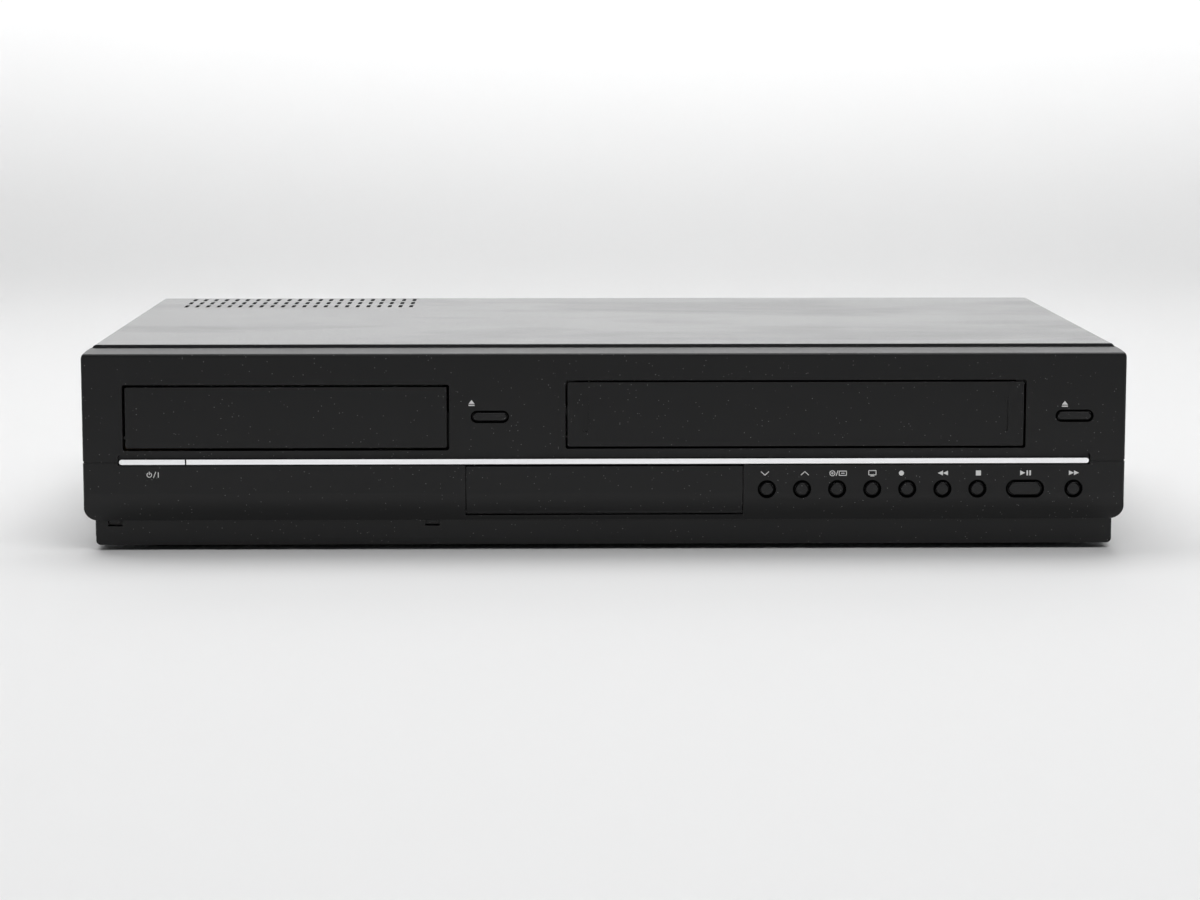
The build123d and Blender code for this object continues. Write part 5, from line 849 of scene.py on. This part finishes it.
# ---- Fasteners --------------------------------------------------------------------------------------------
@dataclass(frozen=True)
class CrossScrew:
    """A pan head with a cross recess, in millimetres."""

    head_r: float = 3.4
    head_t: float = 1.5
    recess_r: float = 1.9
    recess_w: float = 0.62
    recess_d: float = 0.9
    rim: float = 0.45
    edge: Point2 = (0.97, 0.12)
    flat_r: float = 0.4
    steps: int = 40

    def make(self, material: bpy.types.Material) -> bpy.types.Object:
        """Makes one screw.

        Args:
            material: Its finish.

        Returns:
            The screw, which looks along Z with its seat at zero.
        """
        mesh = bmesh.new()
        crown = [(self.head_r * cos(radians(a)), self.head_t * (self.rim + (1 - self.rim) * sin(radians(a))))
                 for a in range(0, 76, 15)]
        lathe(mesh, [(self.head_r * self.edge[0], 0.0), (self.head_r, self.head_t * self.edge[1]), *crown,
                     (self.flat_r, self.head_t)], self.steps)
        head = new_piece("screw_head", mesh, material, smooth=True)
        for turn in (0.0, pi / 2):
            cutter = bmesh.new()
            bmesh.ops.create_cube(cutter, size=1.0)
            bmesh.ops.scale(cutter, verts=cutter.verts,
                            vec=(2 * self.recess_r * MM, self.recess_w * MM, 2 * self.recess_d * MM))
            bmesh.ops.rotate(cutter, verts=cutter.verts, matrix=Matrix.Rotation(turn, 3, "Z"))
            bmesh.ops.translate(cutter, verts=cutter.verts, vec=(0, 0, self.head_t * MM))
            tool = new_piece("recess", cutter, material)
            cut = head.modifiers.new("recess", "BOOLEAN")
            cut.object, cut.operation, cut.solver = tool, "DIFFERENCE", "EXACT"
            bpy.context.view_layer.update()
            seen = head.evaluated_get(bpy.context.evaluated_depsgraph_get())
            made = bpy.data.meshes.new_from_object(seen)
            head.modifiers.clear()
            head.data = made
            bpy.data.objects.remove(tool)
        return head


@dataclass
class CaseScrews(Fitting):
    """The screws of the cover's sides and rear flange, in millimetres."""

    screw: CrossScrew = CrossScrew()
    side_x: float = 212.0
    rear_y: float = 114.0
    side_places: tuple[Point2, ...] = ((-60.5, 11.9), (80.667, 11.9))
    rear_places: tuple[Point2, ...] = ((-198.0, 79.4), (0.0, 79.4), (198.0, 79.4))

    def build(self) -> list[bpy.types.Object]:
        """Sets the screws out, each turned its own way.

        Returns:
            The piece, which stands for the plain screws.
        """
        places = [at_mm(side * self.side_x, y, z, (side, 0, 0), 0.3 + y)
                  for side in (-1, 1) for y, z in self.side_places]
        places += [at_mm(x, self.rear_y, z, BACK, 0.5 + x) for x, z in self.rear_places]
        paint = self.paints.get("black_screw")
        piece = self.repeater.set_out("cross_recess_screws", self.screw.make(paint), places, paint)
        return [self.mount(piece, "black_screw", instead_of="case_screws")]


@dataclass
class Feet(Fitting):
    """Rubber feet with a recess and a screw in each, in millimetres."""

    screw: CrossScrew = CrossScrew(head_r=2.9, head_t=1.1, recess_r=1.6, recess_w=0.55, recess_d=0.7)
    places: tuple[Point2, ...] = ((-185.0, -95.0), (185.0, -95.0), (-185.0, 95.0), (185.0, 95.0))
    radius: float = 9.0
    height: float = 3.4
    recess_r: float = 4.0
    recess_z: float = 1.9
    sole: tuple[Point2, ...] = ((-1.1, 0.0), (-0.6, 0.1), (-0.25, 0.4), (-0.1, 0.9))

    def foot(self) -> bmesh.types.BMesh:
        """Draws one foot about Z, standing on zero.

        Returns:
            The mesh.
        """
        mesh = bmesh.new()
        lathe(mesh, [(self.recess_r - 0.5, self.recess_z), (self.recess_r - 0.1, self.recess_z - 0.3),
                     (self.recess_r, 0.3), (self.recess_r + 0.3, 0.0),
                     *((self.radius + out, z) for out, z in self.sole), (self.radius, self.height)], 48)
        bmesh.ops.recalc_face_normals(mesh, faces=mesh.faces)
        return mesh

    def build(self) -> list[bpy.types.Object]:
        """Sets out the feet and their screws.

        Returns:
            The two pieces, of which the first stands for the plain feet.
        """
        dark = self.paints.get("black_screw")
        feet = self.copies("recessed_feet", self.foot(), [at_mm(x, y, 0.0) for x, y in self.places],
                           "foot_rubber", smooth=True)
        heads = [at_mm(x, y, self.recess_z, (0, 0, -1), (9.0 * x + y) * MM) for x, y in self.places]
        screws = self.repeater.set_out("foot_screws", self.screw.make(dark), heads, dark)
        return [self.mount(feet, "foot_rubber", instead_of="rubber_feet"), self.mount(screws, "black_screw")]


# ---- Painted shade in the button recesses -----------------------------------------------------------------
@dataclass
class PaintedRecessShades(Fitting):
    """Painted shade: near-black matt linings on the floors and walls of the dished button recesses, in
    millimetres.
    """

    floor_y: float = -119.9
    depth: float = 1.06
    wall: float = 0.05
    clear: float = 0.01
    key_z: float = 25.8
    round_x: tuple[float, ...] = (66.8, 81.332, 95.864, 110.396, 124.928, 139.46, 153.992, 193.8)
    play_x: float = 173.7
    pill_x: tuple[float, ...] = (-47.5, 193.7)
    pill_z: float = 56.15
    round_r: Point2 = (2.92, 3.8)
    pill_r: Point2 = (1.97, 2.6)
    play_stretch: float = 4.15
    pill_stretch: float = 5.3

    def shade(self, radii: Point2, stretch: float) -> bmesh.types.BMesh:
        """Returns one lining of painted shade that looks along Z, with the recess floor at zero.

        Args:
            radii: The radius of the button's hole and that of the recess.
            stretch: How far each half is from the middle, for a long recess.

        Returns:
            The mesh.
        """
        inner, outer = radii[0], radii[1] - self.clear
        mesh = bmesh.new()
        turned_ring(mesh, [(inner, 0.0), (outer, 0.0), (outer, self.depth), (outer - self.wall, self.depth),
                           (outer - self.wall, self.wall), (inner, self.wall)], 48, stretch)
        return mesh

    def build(self) -> list[bpy.types.Object]:
        """Lines every recess with painted shade.

        Returns:
            The three pieces.
        """
        kinds = (("round_recess_shades", self.round_r, 0.0, self.round_x, self.key_z),
                 ("long_recess_shade", self.round_r, self.play_stretch, (self.play_x,), self.key_z),
                 ("pill_recess_shades", self.pill_r, self.pill_stretch, self.pill_x, self.pill_z))
        # Each recess gets a near-black lining of painted shade.
        return [self.mount(self.copies(name, self.shade(radii, stretch),
                                       [at_mm(x, self.floor_y, z, FRONT) for x in xs], "recess_painted_shade"))
                for name, radii, stretch, xs, z in kinds]


# ---- Sockets ----------------------------------------------------------------------------------------------
PICTURE_AND_SOUND = ("socket_yellow", "socket_white", "socket_red")
PICTURE_PARTS = ("socket_green", "socket_blue", "socket_red")


@dataclass
class PhonoRings(Fitting):
    """The coloured faces and collars of the phono sockets, in millimetres."""

    rear_tip_y: float = 121.0
    rear_face_y: float = 113.2
    front_tip_y: float = -109.2
    face: Point2 = (1.66, 3.3)
    face_t: float = 0.12
    collar: Point2 = (4.2, 5.5)
    collar_t: float = 0.9
    sunk: float = 0.02
    bevel_share: float = 0.4
    columns: tuple[tuple[float, tuple[str, ...]], ...] = (
        (-20.0, PICTURE_AND_SOUND), (2.0, PICTURE_AND_SOUND), (24.0, PICTURE_PARTS))
    row_z: tuple[float, ...] = (52.0, 38.0, 24.0)
    lone_place: Point2 = (56.0, 24.0)
    front_x: tuple[float, ...] = (-18.3, -0.3, 17.7)
    front_z: float = 24.8

    def places(self) -> dict[str, list[Place]]:
        """Sorts the coloured faces by finish.

        Returns:
            The places of each colour.
        """
        found: dict[str, list[Place]] = {}
        spots = [(x, z, colour) for x, colours in self.columns for z, colour in zip(self.row_z, colours)]
        for x, z, colour in [*spots, (*self.lone_place, "socket_orange")]:
            found.setdefault(colour, []).append(at_mm(x, self.rear_tip_y, z, BACK))
        for x, colour in zip(self.front_x, PICTURE_AND_SOUND):
            found.setdefault(colour, []).append(at_mm(x, self.front_tip_y, self.front_z, FRONT))
        return found

    def ring(self, radii: Point2, thick: float) -> bmesh.types.BMesh:
        """Returns a ring that looks along Z, with its outer edge bevelled.

        Args:
            radii: Its inner and outer radius.
            thick: How far it stands out.

        Returns:
            The mesh.
        """
        inner, outer = radii
        bevel = thick * self.bevel_share
        mesh = bmesh.new()
        turned_ring(mesh, [(inner, -self.sunk), (outer, -self.sunk), (outer, thick - bevel),
                           (outer - bevel, thick), (inner, thick)])
        return mesh

    def build(self) -> list[bpy.types.Object]:
        """Makes the faces at the sockets' tips, and the collars at the feet of the rear ones.

        Returns:
            The pieces, two for most colours.
        """
        made = []
        for colour, places in self.places().items():
            made.append(self.copies(f"{colour}_faces", self.ring(self.face, self.face_t), places, colour))
            feet = [Place((place.at[0], self.rear_face_y * MM, place.at[2]), BACK)
                    for place in places if place.facing == BACK]
            if feet:
                collar = self.ring(self.collar, self.collar_t)
                made.append(self.copies(f"{colour}_collars", collar, feet, colour))
        return [self.mount(piece) for piece in made]


@dataclass
class Sockets(Fitting):
    """The threads, pins, contacts and insulators of the other rear sockets, in millimetres."""

    aerial_x: tuple[float, ...] = (140.0, 160.0)
    aerial_z: float = 30.0
    thread: tuple[Point2, ...] = ((4.66, -0.36), (5.0, -0.06), (5.0, 0.06), (4.66, 0.36))
    thread_pitch: float = 0.8
    thread_y: Point2 = (114.6, 120.4)
    inlet: Point2 = (-186.0, 30.0)
    pin_step: float = 4.3
    pin_y: Point2 = (104.6, 112.3)
    pin_r: float = 1.27
    pin_tip: tuple[Point2, ...] = ((0.0, -0.4), (-0.17, -0.12), (-0.47, 0.0))
    video: Point2 = (-46.0, 24.0)
    video_y: Point2 = (108.2, 111.0)
    video_r: Point2 = (0.5, 4.55)
    video_key: Point2 = (2.4, 1.1)
    video_step: float = 1.0
    video_bevel: float = 0.3
    sunk: float = 0.1
    soft_edge: float = 0.15
    video_holes: tuple[Point2, ...] = ((-1.7, 1.0), (1.7, 1.0), (-2.3, -1.1), (2.3, -1.1))
    eyelet: tuple[Point2, ...] = ((0.35, -0.1), (0.62, -0.1), (0.62, 0.06), (0.5, 0.14), (0.35, 0.14))
    digital: Point2 = (-78.0, 24.0)
    tongue: Point3 = (12.4, 1.1, 5.2)
    tongue_y: float = 107.2
    contact: Point2 = (0.5, 0.16)
    contact_in: float = 0.4
    contact_edge: float = 0.04
    contact_count: int = 10
    contact_pitch: float = 1.1
    optical: Point2 = (84.0, 24.0)
    shutter: tuple[Point2, ...] = ((-2.7, -2.7), (2.7, -2.7), (2.7, 1.9), (1.9, 2.7), (-1.9, 2.7), (-2.7, 1.9))
    shutter_y: Point2 = (110.9, 111.6)
    shutter_rib: tuple[Point2, ...] = ((-1.5, 1.2), (1.5, 1.2), (1.5, 1.7), (-1.5, 1.7))
    shutter_rib_y: Point2 = (111.5, 111.95)

    def threads(self) -> bpy.types.Object:
        """Makes the threads of the aerial sockets.

        Returns:
            The piece.
        """
        start, end = self.thread_y
        mesh = bmesh.new()
        turned_ring(mesh, self.thread, 40)
        places = [at_mm(x, start + i * self.thread_pitch, self.aerial_z, BACK) for x in self.aerial_x
                  for i in range(int((end - start) / self.thread_pitch) + 1)]
        return self.mount(self.copies("aerial_threads", mesh, places, "plated_steel"), "plated_steel")

    def pins(self) -> bpy.types.Object:
        """Makes the bright sleeves of the mains pins.

        Returns:
            The piece.
        """
        length = self.pin_y[1] - self.pin_y[0]
        mesh = bmesh.new()
        lathe(mesh, [(self.pin_r, 0.0), *((self.pin_r + out, length + up) for out, up in self.pin_tip)], 28)
        x, z = self.inlet
        places = [at_mm(x + side * self.pin_step, self.pin_y[0], z, BACK) for side in (-1, 1)]
        return self.mount(self.copies("mains_pins", mesh, places, "socket_metal", smooth=True), "socket_metal")

    def video_insulator(self) -> bpy.types.Object:
        """Makes the dark insulator in the round socket, with its key as a step.

        Returns:
            The piece.
        """
        inner, outer = self.video_r
        depth = self.video_y[1] - self.video_y[0]
        mesh = bmesh.new()
        bevel = self.video_bevel
        turned_ring(mesh, [(inner, -self.sunk), (outer, -self.sunk), (outer, depth - bevel),
                           (outer - bevel, depth), (inner, depth)], 40)
        soft_block(mesh, (*self.video_key, depth + self.video_step), self.soft_edge)
        look_back(mesh, (self.video[0], self.video_y[0], self.video[1]))
        return self.mount(self.single("video_insulator", mesh, "inlet_plastic"), "inlet_plastic")

    def video_eyelets(self) -> bpy.types.Object:
        """Makes the four eyelets of the round socket.

        Returns:
            The piece.
        """
        x, z = self.video
        mesh = bmesh.new()
        turned_ring(mesh, self.eyelet, 20)
        places = [at_mm(x + dx, self.video_y[1], z + dz, BACK) for dx, dz in self.video_holes]
        return self.mount(self.copies("video_eyelets", mesh, places, "socket_metal"), "socket_metal")

    def tongue_and_shutter(self) -> bpy.types.Object:
        """Makes the tongue in the flat socket and the shutter of the optical one.

        Returns:
            The piece.
        """
        mesh = bmesh.new()
        soft_block(mesh, self.tongue, self.soft_edge)
        look_back(mesh, (self.digital[0], self.tongue_y, self.digital[1]))
        x, z = self.optical
        for outline, depth in ((self.shutter, self.shutter_y), (self.shutter_rib, self.shutter_rib_y)):
            prism(mesh, [(x + dx, z + dz) for dx, dz in outline], depth)
        return self.mount(self.single("tongue_and_shutter", mesh, "inlet_plastic"), "inlet_plastic")

    def digital_contacts(self) -> bpy.types.Object:
        """Makes the strips on both faces of the flat socket's tongue.

        Returns:
            The piece.
        """
        x, z = self.digital
        _, thick, length = self.tongue
        first = x - (self.contact_count - 1) / 2 * self.contact_pitch
        start = self.tongue_y + self.contact_in
        mesh = bmesh.new()
        soft_block(mesh, (*self.contact, length - 2 * self.contact_in), self.contact_edge)
        places = [at_mm(first + i * self.contact_pitch, start, z + side * thick / 2, BACK)
                  for i in range(self.contact_count) for side in (-1, 1)]
        return self.mount(self.copies("digital_contacts", mesh, places, "socket_metal"), "socket_metal")

    def build(self) -> list[bpy.types.Object]:
        """Makes every socket's details.

        Returns:
            The pieces.
        """
        return [self.threads(), self.pins(), self.video_eyelets(), self.digital_contacts(),
                self.video_insulator(), self.tongue_and_shutter()]


# ---- Tray -------------------------------------------------------------------------------------------------
@dataclass
class DiscPads(Fitting):
    """The soft pads that a disc rests on, in millimetres and degrees."""

    disc: Point2 = (-131.3, -48.0)
    well_z: float = 50.0
    ring_r: float = 58.2
    pad: Point3 = (5.0, 1.6, 0.35)
    soft_edge: float = 0.14
    turns: tuple[float, ...] = (38.0, 142.0, 218.0, 322.0)

    def build(self) -> list[bpy.types.Object]:
        """Makes the pads.

        Returns:
            The piece, which rides on the tray.
        """
        x, y = self.disc
        mesh = bmesh.new()
        soft_block(mesh, self.pad, self.soft_edge)
        places = [at_mm(x + self.ring_r * cos(radians(turn)), y + self.ring_r * sin(radians(turn)), self.well_z,
                        spin=radians(turn + 90)) for turn in self.turns]
        pads = self.copies("tray_pads", mesh, places, "roller_rubber")
        return [self.mount(pads, "roller_rubber", "disc_tray")]


# ---- Boards -----------------------------------------------------------------------------------------------
@dataclass
class SmallParts(Fitting):
    """Rows of small soldered parts on the main board, in millimetres."""

    board: str = "main_board"
    pitch: Point2 = (9.0, 7.0)
    margin: float = 6.0
    share: float = 0.42
    seed: int = 11
    body: Point3 = (2.0, 1.2, 0.5)
    cap: Point3 = (0.5, 1.26, 0.54)
    soft_edge: float = 0.08
    clear: float = 3.0
    keep_off: tuple[str, ...] = ("board_parts", "rear_sockets", "aerial_box", "ribbon_cables", "front_jacks")

    def spots(self) -> list[Point3]:
        """Picks where the parts go on the board's top, in metres.

        Returns:
            X, Y and turn of each part.
        """
        low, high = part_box(self.board)
        room = self.clear * MM
        taken = [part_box(name) for name in self.keep_off]
        chance = Random(self.seed)
        columns, rows = (int(((high[k] - low[k]) / MM - 2 * self.margin) / self.pitch[k]) for k in (0, 1))
        found = []
        for i in range(columns):
            for j in range(rows):
                x = low[0] + (self.margin + (i + chance.uniform(0.2, 0.6)) * self.pitch[0]) * MM
                y = low[1] + (self.margin + (j + chance.uniform(0.3, 0.6)) * self.pitch[1]) * MM
                turn = chance.choice((0.0, pi / 2))
                free = not any(a[0] - room < x < b[0] + room and a[1] - room < y < b[1] + room
                               for a, b in taken)
                if chance.random() < self.share and free:
                    found.append((x, y, turn))
        return found

    def build(self) -> list[bpy.types.Object]:
        """Sets the parts out, each with its two soldered ends.

        Returns:
            The two pieces.
        """
        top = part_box(self.board)[1][2]
        spots = self.spots()
        end = self.body[0] / 2 * MM
        made = []
        for name, size, finish, slot, shifts in (("small_parts", self.body, "component", "component", (0.0,)),
                                                 ("soldered_ends", self.cap, "solder", "", (-end, end))):
            mesh = bmesh.new()
            soft_block(mesh, size, self.soft_edge)
            places = [Place((x + shift * cos(turn), y + shift * sin(turn), top), UP_Z, turn)
                      for x, y, turn in spots for shift in shifts]
            made.append(self.mount(self.copies(name, mesh, places, finish), slot))
        return made


# ---- Studio -----------------------------------------------------------------------------------------------
@dataclass(frozen=True)
class SoftBox:
    """One soft light: its place, size, power in watts, aim, and beam in degrees."""

    name: str
    at: Point3
    size: Point2
    power: float
    aim: Point3 = (0.0, 0.0, 0.04)
    beam: float = 180.0

    def hang(self) -> None:
        """Adds the light to the scene."""
        data = bpy.data.lights.new(self.name, "AREA")
        data.shape = "RECTANGLE"
        data.size, data.size_y = self.size
        data.energy = self.power
        data.spread = radians(self.beam)
        lamp = bpy.data.objects.new(self.name, data)
        lamp.location = self.at
        lamp.rotation_euler = (Vector(self.aim) - Vector(self.at)).to_track_quat("-Z", "Y").to_euler()
        bpy.context.scene.collection.objects.link(lamp)


@dataclass
class Studio:
    """The pale sweep, the soft lights and the camera, in metres and degrees."""

    camera_at: Point3 = (-0.0220, -1.3158, 0.2073)
    camera_pitch: float = 6.922
    camera_yaw: float = 0.949
    camera_roll: float = -0.010
    lens: float = 87.79
    shift_y: float = -0.04
    sweep_w: float = 9.0
    sweep_front: float = -4.0
    sweep_back: float = 2.4
    sweep_h: float = 3.4
    sweep_r: float = 1.2
    sweep_grey: float = 0.8
    sweep_roughness: float = 0.9
    sweep_specular: float = 0.1
    sky_colour: Colour = (0.95, 0.97, 1.0)
    sky: float = 0.10
    boxes: tuple[SoftBox, ...] = (
        SoftBox("top_box", (-0.2, 0.5, 1.7), (2.2, 1.1), 27.0),
        SoftBox("backdrop_box", (0.0, 0.7, 2.6), (3.6, 0.6), 42.0, (0.0, 2.4, 1.3), 75.0),
        SoftBox("floor_box", (0.6, -1.5, 2.2), (3.0, 0.8), 15.0, (0.2, -0.8, 0.0), 110.0))

    def sweep(self) -> None:
        """Makes the floor and backdrop as one curved sheet."""
        mesh = bmesh.new()
        start = self.sweep_back - self.sweep_r
        bend = [(start + self.sweep_r * sin(a), self.sweep_r * (1 - cos(a)))
                for a in (radians(90 * i / 12) for i in range(13))]
        profile = [(self.sweep_front, 0.0), *bend, (self.sweep_back, self.sweep_h)]
        rows = [[mesh.verts.new((x, y, z)) for x in (-self.sweep_w / 2, self.sweep_w / 2)] for y, z in profile]
        for low, high in zip(rows, rows[1:]):
            mesh.faces.new((low[0], low[1], high[1], high[0]))
        paper = bpy.data.materials.new("studio_paper")
        paper.use_nodes = True
        shader = paper.node_tree.nodes["Principled BSDF"]
        shader.inputs["Base Color"].default_value = (self.sweep_grey, self.sweep_grey, self.sweep_grey, 1)
        shader.inputs["Roughness"].default_value = self.sweep_roughness
        shader.inputs["Specular IOR Level"].default_value = self.sweep_specular
        new_piece("studio_sweep", mesh, paper, smooth=True)

    def build(self) -> None:
        """Builds the sweep, the lights, the sky and the camera."""
        self.sweep()
        world = bpy.data.worlds.new("studio")
        world.use_nodes = True
        sky = world.node_tree.nodes["Background"]
        sky.inputs[0].default_value = (*self.sky_colour, 1)
        sky.inputs[1].default_value = self.sky
        bpy.context.scene.world = world
        for box in self.boxes:
            box.hang()
        data = bpy.data.cameras.new("camera")
        data.lens = self.lens
        data.sensor_width = 36.0
        data.shift_y = self.shift_y
        camera = bpy.data.objects.new("camera", data)
        camera.location = self.camera_at
        camera.rotation_euler = [radians(turn) for turn in
                                 (90 - self.camera_pitch, self.camera_roll, -self.camera_yaw)]
        bpy.context.scene.collection.objects.link(camera)
        bpy.context.scene.camera = camera
        bpy.context.scene.view_settings.view_transform = "Standard"


def main() -> None:
    """Builds the studio, the finishes and every added piece."""
    logging.basicConfig(level=logging.INFO, format="%(message)s")
    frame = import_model()
    Studio().build()
    paints = Paintbox()
    paints.dress_nodes(frame)
    repeater = Repeater()
    for fitting in (FrontMarks, CaseScrews, PaintedRecessShades, PhonoRings, Sockets, Feet, DiscPads, SmallParts):
        for piece in fitting(paints, repeater).build():
            log.info("%s: %d faces", piece.name, len(piece.data.polygons))


if __name__ == "__main__":
    main()
